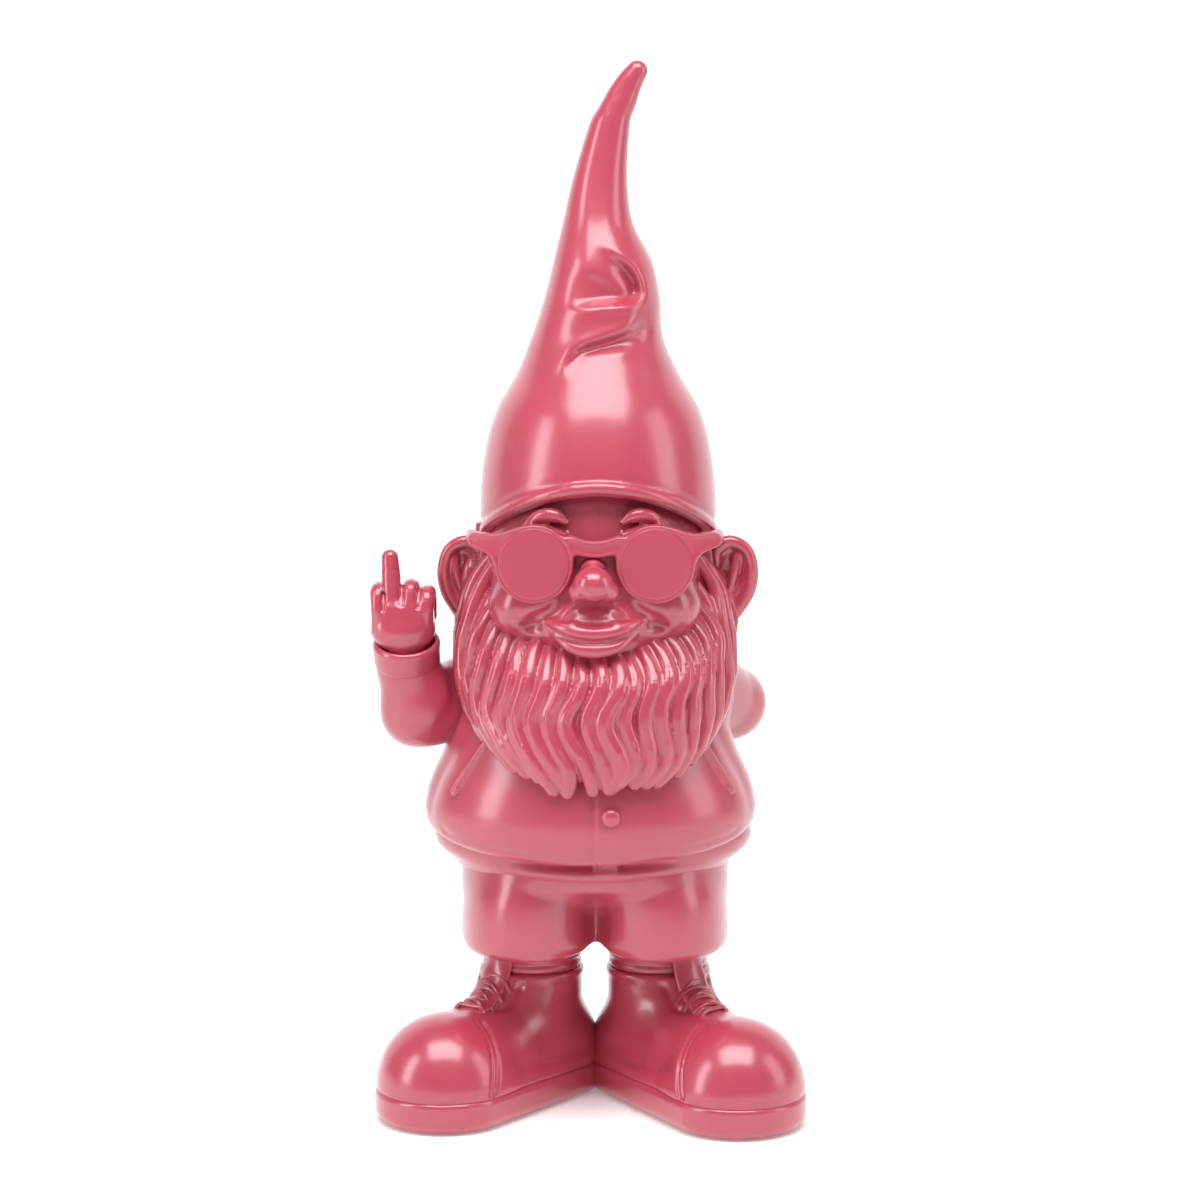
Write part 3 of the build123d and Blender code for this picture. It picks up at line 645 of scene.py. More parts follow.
    def _settle(self, vertices: Array, faces: Array) -> Array:
        """Evens the vertices out and draws them onto the true skin.

        Args:
            vertices: the vertices as rows.
            faces: the faces as rows of four vertex numbers.

        Returns:
            The vertices where they come to lie.
        """
        passes, evening = 3, 0.5
        reach = self.step * 0.5
        farthest = self.step * 0.6  # that a vertex may move in one pass
        least_slope = 0.04  # keeps a vertex still where the distances are flat
        ring = np.concatenate([faces[:, [n, (n + 1) % 4]] for n in range(4)])
        one, other = np.concatenate([ring, ring[:, ::-1]]).T
        count = len(vertices)
        degree = np.bincount(one, minlength=count)[:, None]
        for _ in range(passes):
            sums = [np.bincount(one, column[other], minlength=count) for column in vertices.T]
            vertices = vertices + (np.column_stack(sums) / degree - vertices) * evening
            rises = [self.sample(vertices + way) - self.sample(vertices - way) for way in reach * np.eye(3)]
            slope = np.column_stack(rises) / (2 * reach)
            size = np.maximum((slope**2).sum(axis=1), least_slope)
            move = -(self.sample(vertices) / size)[:, None] * slope
            length = np.linalg.norm(move, axis=1, keepdims=True)
            vertices = vertices + move * np.minimum(1, farthest / np.maximum(length, TINY))
        return vertices


def put(name: str, data: bpy.types.ID) -> bpy.types.Object:
    """Puts an object into the scene at the origin, made from its mesh, curve, light or camera."""
    thing = bpy.data.objects.new(name, data)
    bpy.context.scene.collection.objects.link(thing)
    return thing


def mesh_from(name: str, vertices: Array, faces: Array) -> bpy.types.Object:
    """Makes a smooth mesh object at the origin from clay's skin.

    Args:
        name: the piece's name.
        vertices: millimetres from the figure's middle, one row each.
        faces: vertex numbers, one row each.

    Returns:
        The object, linked to the scene.
    """
    places = vertices * MM + FIGURE.middle
    mesh = bpy.data.meshes.new(name)
    mesh.from_pydata(places.tolist(), [], faces.tolist())
    mesh.shade_smooth()
    return put(name, mesh)


# ------ finishes
class Signal:
    """A shader socket that maths can be written with."""

    def __init__(self, tree: bpy.types.NodeTree, socket: bpy.types.NodeSocket) -> None:
        """Wraps an output socket of a tree."""
        self.tree, self.socket = tree, socket

    def _math(self, operation: str, first: "Signal | float", second: "Signal | float") -> "Signal":
        """Adds a Math node.

        Args:
            operation: the node's operation.
            first: its first value.
            second: its second value.

        Returns:
            The node's result.
        """
        node = self.tree.nodes.new("ShaderNodeMath")
        node.operation = operation
        for slot, value in zip(node.inputs, (first, second)):
            if isinstance(value, Signal):
                self.tree.links.new(value.socket, slot)
            else:
                slot.default_value = value
        return Signal(self.tree, node.outputs[0])

    def __add__(self, other: "Signal | float") -> "Signal":
        """The sum."""
        return self._math("ADD", self, other)

    def __sub__(self, other: "Signal | float") -> "Signal":
        """The difference."""
        return self._math("SUBTRACT", self, other)

    def __rsub__(self, other: float) -> "Signal":
        """The difference, from a number."""
        return self._math("SUBTRACT", other, self)

    def __mul__(self, other: "Signal | float") -> "Signal":
        """The product."""
        return self._math("MULTIPLY", self, other)

    __radd__ = __add__
    __rmul__ = __mul__


class Palette:
    """A new material, with one way of adding each kind of node."""

    def __init__(self, name: str) -> None:
        """Makes a material of that name, with its shader."""
        self.material = bpy.data.materials.new(name)
        self.material.use_nodes = True
        self.tree = self.material.node_tree
        self.shader = self.tree.nodes["Principled BSDF"]

    def node(self, kind: str, settings: dict | None = None, inputs: dict | None = None) -> bpy.types.Node:
        """Adds a node.

        Args:
            kind: the node's type.
            settings: its properties, set first.
            inputs: values, signals or sockets for its inputs, by name or number.

        Returns:
            The node.
        """
        node = self.tree.nodes.new(kind)
        for key, value in (settings or {}).items():
            setattr(node, key, value)
        for key, value in (inputs or {}).items():
            self.feed(node.inputs[key], value)
        return node

    def feed(self, slot: bpy.types.NodeSocket, value: object) -> None:
        """Links an input, or sets its value.

        Args:
            slot: the input.
            value: a signal or socket to link to it, or a plain value.
        """
        if isinstance(value, Signal):
            self.tree.links.new(value.socket, slot)
        elif isinstance(value, bpy.types.NodeSocket):
            self.tree.links.new(value, slot)
        else:
            slot.default_value = value

    def noise(self, size: float, detail: float = 2.0, roughness: float = 0.5) -> Signal:
        """A noise over the piece.

        Args:
            size: about how large its grains are, in millimetres.
            detail: how many finer layers it has.
            roughness: how strong those are.

        Returns:
            The noise, from 0 to 1.
        """
        place = self.node("ShaderNodeTexCoord").outputs["Object"]
        grain = self.node(
            "ShaderNodeTexNoise",
            {"normalize": True},
            {"Vector": place, "Scale": 1 / (size * MM), "Detail": detail, "Roughness": roughness},
        )
        return Signal(self.tree, grain.outputs["Fac"])

    def mix(self, factor: Signal, first: tuple, second: tuple) -> bpy.types.NodeSocket:
        """Mixes two colours.

        Args:
            factor: the second colour's share.
            first: the first colour.
            second: the second colour.

        Returns:
            The mixed colour's socket.
        """
        node = self.node("ShaderNodeMix", {"data_type": "RGBA"}, {"Factor": factor})
        node.inputs["A"].default_value = (*first, 1)
        node.inputs["B"].default_value = (*second, 1)
        return node.outputs["Result"]


@dataclass(frozen=True)
class Lacquer:
    """One coat of glossy coral lacquer over cast resin, with sizes and depths in millimetres."""

    name: str
    colour: tuple[float, float, float] = (0.50, 0.060, 0.098)
    deeper: tuple[float, float, float] = (0.44, 0.048, 0.081)
    cloud_size: float = 26.0
    mottle_size: float = 5.0
    peel_size: float = 1.5
    peel_depth: float = 0.022
    sag_size: float = 9.0
    sag_depth: float = 0.09
    roughness: float = 0.34
    coat: float = 1.0
    coat_roughness: float = 0.20
    index: float = 1.5

    def material(self) -> bpy.types.Material:
        """Builds the material: cloudy colour, and a skin with a fine orange peel and slow sags."""
        palette = Palette(self.name)
        clouds = palette.noise(self.cloud_size, 3.0)
        mottle = palette.noise(self.mottle_size, 4.0)
        shader = palette.shader
        colour = palette.mix(clouds * 0.7 + mottle * 0.3, self.deeper, self.colour)
        palette.feed(shader.inputs["Base Color"], colour)
        # the two noises add 0.06 on average, which is taken off again
        palette.feed(shader.inputs["Roughness"], clouds * 0.07 + mottle * 0.05 + self.roughness - 0.06)
        peel = palette.noise(self.peel_size, 1.0) * (self.peel_depth * MM)
        sags = palette.noise(self.sag_size, 1.0) * (self.sag_depth * MM)
        bump = palette.node("ShaderNodeBump", None, {"Strength": 1.0, "Distance": 1.0, "Height": peel + sags})
        palette.feed(shader.inputs["Normal"], bump.outputs["Normal"])
        shader.inputs["IOR"].default_value = self.index
        shader.inputs["Coat Weight"].default_value = self.coat
        shader.inputs["Coat Roughness"].default_value = self.coat_roughness
        shader.inputs["Coat IOR"].default_value = self.index
        return palette.material


class Finishes:
    """The figure's lacquer, as it lies on cloth, skin, hair, leather and glass."""

    def __init__(self) -> None:
        """Builds the material of each surface."""
        self.cloth = Lacquer("lacquer_on_cloth").material()
        self.felt = Lacquer("lacquer_on_hat", sag_size=12.0, sag_depth=0.13).material()
        smooth = {"sag_depth": 0.03, "roughness": 0.26}
        self.skin = Lacquer("lacquer_on_skin", sag_size=6.0, **smooth).material()
        self.hair = Lacquer("lacquer_on_hair", peel_size=1.1, sag_size=4.0, **smooth).material()
        self.leather = Lacquer("lacquer_on_boots", peel_size=1.3, peel_depth=0.018, roughness=0.3).material()
        flat = {"peel_depth": 0.008, "sag_size": 20.0, "coat": 0.5}
        self.glass = Lacquer("lacquer_on_lenses", roughness=0.3, **flat).material()


@dataclass
class Assembly:
    """A part of the figure, which turns clay into finished pieces."""

    finishes: Finishes

    def build(self) -> None:
        """Models the part's pieces and lets them stand for their nodes."""
        raise NotImplementedError

    def place(self, piece: bpy.types.Object, finish: bpy.types.Material, *nodes: str) -> None:
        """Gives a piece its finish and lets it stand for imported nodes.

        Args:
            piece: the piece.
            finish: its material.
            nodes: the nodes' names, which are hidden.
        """
        piece.data.materials.clear()
        piece.data.materials.append(finish)
        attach(piece, "root")
        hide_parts(*nodes)
        log.info("%s: %d faces", piece.name, len(piece.data.polygons))

    def fire(self, name: str, clay: Clay, finish: bpy.types.Material, *nodes: str) -> None:
        """Makes clay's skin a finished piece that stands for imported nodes."""
        self.place(mesh_from(name, *clay.skin()), finish, *nodes)


# ------ hat
@dataclass
class Brim(Form):
    """What lies over the hat's brim, which rises from the nape to an arch over the brow."""

    lift: float  # how far the surface is raised from the brim's edge

    HALF_DEPTH = 42.5
    SIDE_HEIGHT = 193.9  # of the brim's edge, over the ears
    RISE = 8.5  # from the side to the brow, and as much from the nape to the side
    ARCH, NAPE = 10.0, -3.4  # what the arch adds over the brow, and what the nape falls further
    EVENNESS = 0.93  # turns heights over the slanting edge into distances

    def height(self, y: Array) -> Array:
        """The height of the brim's edge at a depth."""
        share = np.clip(-y / self.HALF_DEPTH, -1.05, 1.05)
        bend = np.where(share > 0, self.ARCH, self.NAPE) * share**2
        return self.SIDE_HEIGHT + self.lift + self.RISE * share + bend

    def distance(self, x: Array, y: Array, z: Array) -> Array:
        """The brim's distance, as Form says."""
        return (self.height(y) - z) * self.EVENNESS + 0 * x


@dataclass
class Hem(Form):
    """What lies over a hem that dips in front."""

    height: float  # at the sides and behind
    dip: float  # how far it falls for each millimetre towards the front

    def distance(self, x: Array, y: Array, z: Array) -> Array:
        """The hem's distance, as Form says."""
        forward = 0.5 * (y - np.sqrt(y * y + 60.0))  # y in front and nearly 0 behind
        return self.height + self.dip * forward - z + 0 * x


class Under(Form):
    """The part of a form that lies under a brim."""

    def __init__(self, form: Form, brim: Brim, rounding: float = 1.5) -> None:
        """Takes the form, the brim, and the radius of the edge between them."""
        self.form, self.brim, self.rounding = form, brim, rounding
        self.low, self.high = form.low, form.high

    def distance(self, x: Array, y: Array, z: Array) -> Array:
        """The part's distance, as Form says."""
        return -soft_min(-self.form.distance(x, y, z), self.brim.distance(x, y, z), self.rounding)


@dataclass
class Hat(Assembly):
    """The tall hat: a bent cone that slumps into folds over a rolled lip."""

    wall: float = 3.9
    brim_middle: tuple[float, float] = (1.2, 1.0)
    brim_half: tuple[float, float] = (39.2, 43.0)
    step: float = 0.75
    # height, middle in X, middle in Y, half width, half depth
    outline: tuple[tuple[float, ...], ...] = (
        (182, 1.2, 1.0, 39.0, 42.6),
        (204, 1.1, 1.0, 39.4, 43.0),
        (220, 1.0, 1.4, 38.0, 41.2),
        (235, 1.1, 2.0, 34.2, 36.8),
        (248, 1.0, 1.8, 26.9, 29.2),
        (260, 0.8, 1.2, 21.9, 23.6),
        (273, 2.4, 0.6, 19.2, 20.6),
        (285, 2.6, 1.2, 16.4, 17.4),
        (298, 1.0, 2.8, 11.6, 12.6),
        (313, 1.8, 3.5, 8.9, 9.4),
        (330, 4.9, 3.1, 6.7, 6.9),
        (334, 6.5, 2.9, 5.95, 6.1),
        (338, 8.6, 2.6, 5.1, 5.1),
        (341, 10.2, 2.3, 3.4, 3.4),
    )
    tip: Point = (13.9, 1.7, 347.2)
    tip_radius: float = 3.5

    def build(self) -> None:
        """Models the hat and lets it stand for its node."""
        low, high = FIGURE.box("hat")
        clay = Clay((-42, -45, low[2] - 4), (45, 47, high[2] + 3), self.step)
        clay.merge(Stack(list(self.outline)), 0)
        bend = [(5.2, 3.0, 331.0, 5.4), (8.3, 2.6, 337.6, 5.15), (11.2, 2.1, 343.2, 4.35)]
        clay.merge(Rope(through([*bend, (*self.tip, self.tip_radius)], 14)), 1.2)
        brim = Brim(0.0)
        clay.trim(brim, 1.2)
        for rise, proud, tube in ((1.4, 0.8, 1.7), (2.3, 0.35, 1.6)):
            clay.merge(Rope(self._lip(brim, rise, proud, tube)), 0.8)
        clay.groove(self._lip(brim, 4.6, 0.3, 0)[:, :3], 0.9, 0.9)
        clay.carve(self._hollow(), 1.4)
        self._fold(clay)
        self.fire("hat_folded", clay, self.finishes.felt, "hat")

    def _lip(self, brim: Brim, rise: float, proud: float, tube: float) -> Array:
        """The rolled lip's route round the brim.

        Args:
            brim: the brim's surface.
            rise: the route's height over the brim's edge.
            proud: how far the lip stands out from the felt.
            tube: the lip's radius.

        Returns:
            Rows of x, y, z and radius.
        """
        x = self.brim_middle[0] + (self.brim_half[0] + proud - tube) * np.sin(TURN)
        y = self.brim_middle[1] - (self.brim_half[1] + proud - tube) * np.cos(TURN)
        return np.column_stack([x, y, brim.height(y) + rise, np.full_like(TURN, tube)])

    def _hollow(self) -> Form:
        """The space under the brim that the head stands in."""
        half = [size - self.wall for size in self.brim_half]
        return Under(Stack([(z, *self.brim_middle, *half) for z in (150, 170, 190, 204, 230)]), Brim(9.0))

    def _fold(self, clay: Clay) -> None:
        """Presses the slumped folds into the front.

        Args:
            clay: the hat's clay.
        """
        rounding = [(15.3, 277.0), (11.0, 284.6), (0.4, 291.4)]
        upper = through([(-10.5, 268.6), (2.0, 270.5), (13.5, 271.6), *rounding], 26)
        clay.fold(upper, depth=5.0, reach=13, lip=0.9, behind=2)
        lower = through([(14.0, 267.2), (11.0, 263.6), (5.0, 261.2), (-6.5, 256.8), (-11.4, 249.0)], 22)
        clay.fold(lower, depth=3.6, reach=7.5, lip=0.9, behind=2)
        wedge = through([(-8.0, 254.0), (2.0, 255.2), (13.0, 256.4)], 10)
        clay.fold(wedge, depth=1.4, reach=3.5, lip=0.6, behind=2)
        clay.soften((-22, -44, 240), (26, 4, 300), 3)


# ------ head
@dataclass
class Head(Assembly):
    """The face: cheeks, a smiling mouth, a ball of a nose, and brows behind the glasses."""

    step: float = 0.58

    def build(self) -> None:
        """Models the head and lets it stand for its node."""
        low, _ = FIGURE.box("head")
        clay = Clay((-41, low[1] - 1, low[2] - 1), (41, 42, 225), self.step)
        # height, middle in X, middle in Y, half width, half depth
        skull = [
            (150, 0, -1, 29, 31),
            (157, 0, -1, 32.5, 35.4),
            (165, 0, -1, 35.2, 38),
            (174, 0, -1, 36.4, 38.8),
            (186, 0, -1, 36.8, 38.4),
            (198, 0, -0.5, 35.4, 36.8),
            (208, 0, 0, 33.0, 34.6),
            (216, 0, 0.6, 30.0, 31.4),
            (223, 0, 1.2, 24.0, 25.0),
        ]
        clay.merge(Stack(skull), 0)
        self._cheeks(clay)
        self._mouth(clay)
        self._nose(clay)
        self._brows(clay)
        self.fire("head_smiling", clay, self.finishes.skin, "head")

    def _cheeks(self, clay: Clay) -> None:
        """Apple cheeks under the glasses and a full muzzle, with the smile's folds between them.

        Args:
            clay: the head's clay.
        """
        clay.merge(Ball((0, -27.5, 167.6), (19, 18.2, 13)), 6)
        for side in Side:
            x = side.value
            clay.merge(Ball((x * 22.4, -25.2, 174.0), (12.4, 14.0, 11.6), (0, x * 20, 0)), 7)
            clay.merge(Ball((x * 17.0, -32.6, 176.0), (8.4, 8.2, 4.4), (0, x * 26, 0)), 3)
            smile = [(x * 9.8, -41.5, 178.0), (x * 12.2, -42, 175), (x * 15.6, -41, 172.2)]
            clay.groove(through([*smile, (x * 19.5, -39, 170.6)], 14), 2.4, 1.8)
            clay.carve(Ball((x * 20.8, -40.4, 168.0), (4.2, 5.2, 2.5), (0, x * 14, 0)), 2.4)
            dimple = [(x * 24.8, -37, 171.6), (x * 27.4, -35.0, 168.6), (x * 26.8, -34.4, 165.0)]
            clay.groove(through(dimple, 10), 0.7, 1.9)

    def _mouth(self, clay: Clay) -> None:
        """A smiling mouth: a long upper lip over a full lower one, and the hollow under the nose.

        Args:
            clay: the head's clay.
        """
        count = 24
        fullness = np.sin(np.linspace(0, pi, count)) ** 0.8
        left, right = [(5, -45.6, 167.0), (10.5, -43.4, 168.4), (16.0, -39.0, 170.2)], (-16.4, -39.0, 169.6)
        upper = [right, (-10.5, -43.4, 168.2), (-5, -45.6, 167.0), (0, -46.1, 166.7), *left]
        clay.merge(Rope.through(upper, count, 0.9 + 1.85 * fullness), 2.2)
        left, right = [(7.2, -44.0, 162.6), (13.4, -40.2, 166.2)], (-13.4, -40.2, 165.8)
        lower = [right, (-7.2, -44.0, 162.4), (0, -45.2, 161.3), *left]
        clay.merge(Rope.through(lower, count, 0.8 + 2.2 * fullness), 0.6)
        left, right = [(5, -47.6, 164.5), (11, -44.6, 166.1), (16.2, -40.2, 169.2)], (-16.6, -40.2, 168.8)
        parting = [right, (-11, -44.6, 166.0), (-5, -47.6, 164.5), (0, -48.6, 164.1), *left]
        clay.groove(through(parting, count), 3.2, 0.8)
        chin = [(-12, -40.5, 161.5), (0, -44.5, 156.8), (12, -40.5, 162.5)]
        clay.groove(through(chin, 12), 2.4, 1.9)
        clay.groove(np.array([(-0.5, -45.5, 177), (0, -46, 171.4)]), 0.4, 2.8)
        for start, end in ((-5.2, -6.8), (4.4, 7.0)):
            ridge = through([(start, -44.6, 177), (start * 1.05, -45.4, 174), (end, -45.4, 170.4)], 8)
            clay.groove(ridge, -0.4, 1.5)

    def _nose(self, clay: Clay) -> None:
        """A snub nose under the bridge of the glasses, with round wings.

        Args:
            clay: the head's clay.
        """
        clay.merge(Rope([(-0.6, -41.6, 186.0, 4.4), (-0.5, -45.4, 183.4, 5.2)]), 1.5)
        clay.merge(Ball((-0.4, -46.6, 182.8), (6.4, 6.4, 5.6)), 1.5)
        for side in Side:
            x = side.value
            clay.merge(Ball((x * 4.7 - 0.3, -44.6, 180.2), (3.5, 4.2, 3.2), (0, x * -14, 0)), 1.4)
            clay.carve(Ball((x * 3.3 - 0.3, -47.2, 176.8), (2.0, 2.6, 1.3)), 0.7)

    def _brows(self, clay: Clay) -> None:
        """Leaf-shaped brows that rise from beside the nose, over puffed lids.

        Args:
            clay: the head's clay.
        """
        for side in Side:
            x = side.value
            brow = [(x * 9.2, -37.2, 202.0), (x * 12.2, -36.8, 203.8), (x * 15.4, -36.0, 204.1)]
            brow += [(x * 19.2, -34.2, 202.5), (x * 22.6, -31.8, 199.7)]
            clay.merge(Rope.through(brow, 16, tapered(16, (0, 0.3, 0.7, 1), (1.1, 2.4, 2.5, 1.2))), 0.9)
            clay.merge(Ball((x * 14.6, -34.2, 198.8), (7.4, 4.4, 2.4), (0, x * -14, 0)), 1.2)
            crease = [(x * 9.0, -38.6, 200.2), (x * 14.0, -38.4, 201.4), (x * 19.0, -36.6, 200.9)]
            clay.groove(through(crease, 12), 0.7, 0.7)


@dataclass
class Ear(Assembly):
    """A cupped ear with a rolled rim."""

    side: Side
    offset: float = 0.95  # how far both ears stand to the figure's left
    tuck: float = 0.85  # how far the rim's route is drawn in
    drop: float = 1.3  # how far it is let down
    step: float = 0.5

    def build(self) -> None:
        """Models the ear and lets it stand for its node."""
        x = self.side.value
        middle = x * 44.0 + self.offset
        clay = Clay((min(x * 34, x * 56), -8, 162), (max(x * 34, x * 56), 13, 197), self.step)
        clay.merge(Ball((middle, 3.5, 180.2), (8.8, 5.4, 12.6), (0, x * 6, 0)), 0)
        clay.merge(Ball((x * 43.4, 2.5, 170.0), (5.6, 3.8, 5.4)), 2.5)
        clay.carve(Ball((x * 45.0, -3.0, 181.6), (5.4, 4.6, 8.0), (0, x * 6, 0)), 0.8)
        clay.merge(self._rim(), 0.9)
        fold = [(x * 47.4, 0.2, 187), (x * 46.6, -0.4, 182), (x * 45.4, 0, 177), (x * 43.4, 0.6, 173.6)]
        clay.merge(Rope.through(fold, 12, 1.6), 0.9)
        self.fire(f"ear_cupped_{self.side.label}", clay, self.finishes.skin, f"ear_{self.side.label}")

    def _rim(self) -> Rope:
        """The rim, from inside the cup round over the top and down to the lobe.

        Returns:
            The rim as a rope.
        """
        # places on the left ear, before they are drawn in and let down
        places = [
            (40.5, -0.5, 185.5),
            (40.6, -1.0, 190.5),
            (45.0, -0.8, 193.2),
            (50.4, -0.4, 190.4),
            (52.4, 0.0, 183.6),
            (51.0, 0.6, 176.0),
            (46.6, 0.8, 169.4),
        ]
        x = self.side.value
        route = [(x * (out - self.tuck) + self.offset, y, z - self.drop) for out, y, z in places]
        return Rope.through(route, 26, tapered(26, (0, 0.2, 0.6, 1), (1.3, 2.2, 2.2, 2.8)))


# ------ sunglasses
@dataclass
class Sunglasses(Assembly):
    """Round glasses: one flush plate with a bridge, two flat lenses and broad temples."""

    spread: float = 19.5
    height: float = 188.7
    front: float = -42.6
    lens_radius: float = 11.7
    rim: float = 1.0
    thickness: float = 4.4
    step: float = 0.4

    def build(self) -> None:
        """Models the plate with both temples, and the two lenses."""
        clay = Clay((-46, self.front - 1.5, 172), (46, 6, 205), self.step)
        x, y, z = clay.grid()
        outline = self._outline(x, z)
        bead = 0.42 * np.exp(-(((outline + 0.6) / 0.5) ** 2))  # a fine raised line inside the outline
        wrap = 0.022 * np.maximum(np.abs(x) - 27, 0) ** 2  # bends the wings back round the face
        face = self.front + 0.35 + wrap
        slab = np.maximum(face - bead - y, y - (face + self.thickness))
        clay.field = -soft_min(-outline - 0 * y, -slab, 0.7).astype(np.float32)
        for side in Side:
            clay.merge(Rope(self._temple(side), (1.0, 0.0, 0.0), 2.1), 1.6)
            clay.groove(self._ring(side), 0.3, 0.5)
        temples = [f"temple_{side.label}" for side in Side]
        self.fire("sunglasses_plate", clay, self.finishes.glass, "sunglasses_frame", *temples)
        for side in Side:
            self._lens(side)

    def _outline(self, x: Array, z: Array) -> Array:
        """The plate's outline, seen from the front.

        Args:
            x: places across.
            z: heights.

        Returns:
            The distances from it, negative inside.
        """
        radius = self.lens_radius + self.rim
        across, up = np.abs(x), z - self.height
        rings = np.hypot(across - self.spread, up) - radius
        bridge = np.hypot(np.maximum(across - 6, 0), up - 4.7 - 0.035 * across**2) - 2.7
        share = np.clip((across - 25) / 14, 0, 1)
        wing = np.hypot(across - 25 - 13.5 * share, up - 4.6 - 3.0 * share) - (4.4 - 1.9 * share)
        return soft_min(soft_min(rings, bridge, 3.4), wing, 5.0)

    def _ring(self, side: Side) -> Array:
        """A circle on the plate, round a lens.

        Args:
            side: the lens's side.

        Returns:
            Rows of x, y and z.
        """
        radius = self.lens_radius + 0.1
        x, z = side.value * self.spread + radius * np.cos(TURN), self.height + radius * np.sin(TURN)
        return np.column_stack([x, np.full_like(TURN, self.front + 0.4), z])

    def _temple(self, side: Side) -> Array:
        """A temple's route: back from the plate's wing, broad, and up over the ear.

        Args:
            side: the temple's side.

        Returns:
            Rows of x, y, z and radius.
        """
        x = side.value
        back = self.front + 2.5
        route = through(
            [
                (x * 35.0, back + 3.5, self.height + 6.6),
                (x * 38.2, back + 9, self.height + 7.2),
                (x * 40.4, back + 18, self.height + 7.0),
                (x * 41.8, back + 32, self.height + 5.4),
                (x * 41.6, back + 43, self.height + 2.5),
            ],
            18,
        )
        return np.column_stack([route, tapered(18, (0, 0.5, 1), (2.9, 2.5, 2.0))])

    def _lens(self, side: Side) -> None:
        """A flat lens with a rounded edge, set almost flush in the plate.

        Args:
            side: the lens's side.
        """
        middle, reach = side.value * self.spread, self.lens_radius + 1
        low = (middle - reach, self.front - 1, self.height - reach)
        clay = Clay(low, (middle + reach, self.front + 4, self.height + reach), self.step * 0.9)
        clay.merge(Disc((middle, self.front + 1.7, self.height), self.lens_radius - 0.1, 1.45), 0)
        self.fire(f"lens_dished_{side.label}", clay, self.finishes.glass, f"lens_{side.label}")


class Disc(Form):
    """A flat round disc that faces forwards, with its edge rounded by half a millimetre."""

    def __init__(self, centre: Point, radius: float, half: float) -> None:
        """Places the disc.

        Args:
            centre: its middle.
            radius: its radius.
            half: half its thickness.
        """
        self.centre, self.radius, self.half = centre, radius, half
        reach = np.array([radius, half, radius])
        self.low, self.high = np.array(centre) - reach, np.array(centre) + reach

    def distance(self, x: Array, y: Array, z: Array) -> Array:
        """The disc's distance, as Form says."""
        across = np.hypot(x - self.centre[0], z - self.centre[2]) - self.radius
        return -soft_min(-across, self.half - np.abs(y - self.centre[1]), 0.5)


# ------ hair and beard
@dataclass
class HairMass:
    """The smooth mass under the locks, and the places of points on it."""

    middle: float = 0.3  # in X
    # height, half width, half depth and front
    levels: tuple[tuple[float, ...], ...] = (
        (110, 25, 13, -47.6),
        (119, 31.5, 20, -49.0),
        (129, 37.6, 28, -49.6),
        (140, 42.4, 34, -49.2),
        (150, 44.6, 38, -48.0),
        (162, 44.6, 38.6, -44.6),
        (176, 42.2, 39.4, -40.0),
        (190, 40.4, 37.6, -37.4),
        (204, 39.0, 36.0, -35.6),
    )

    def stack(self, sink: float) -> Stack:
        """The mass as a form, drawn in by the sink."""
        rows = [
            (z, self.middle, front + depth, width - sink, depth - sink)
            for z, width, depth, front in self.levels
        ]
        return Stack(rows)

    def point(self, turn: float, height: float, proud: float = 0.0) -> Array:
        """A point on the mass.

        Args:
            turn: its angle from the front, in degrees.
            height: its height.
            proud: how far it stands out from the mass.

        Returns:
            The point's x, y and z.
        """
        rows = np.array(self.levels)
        width, depth, front = (np.interp(height, rows[:, 0], rows[:, k]) for k in (1, 2, 3))
        across = (width + proud) * sin(radians(turn))
        return np.array([self.middle + across, front + depth - (depth + proud) * cos(radians(turn)), height])


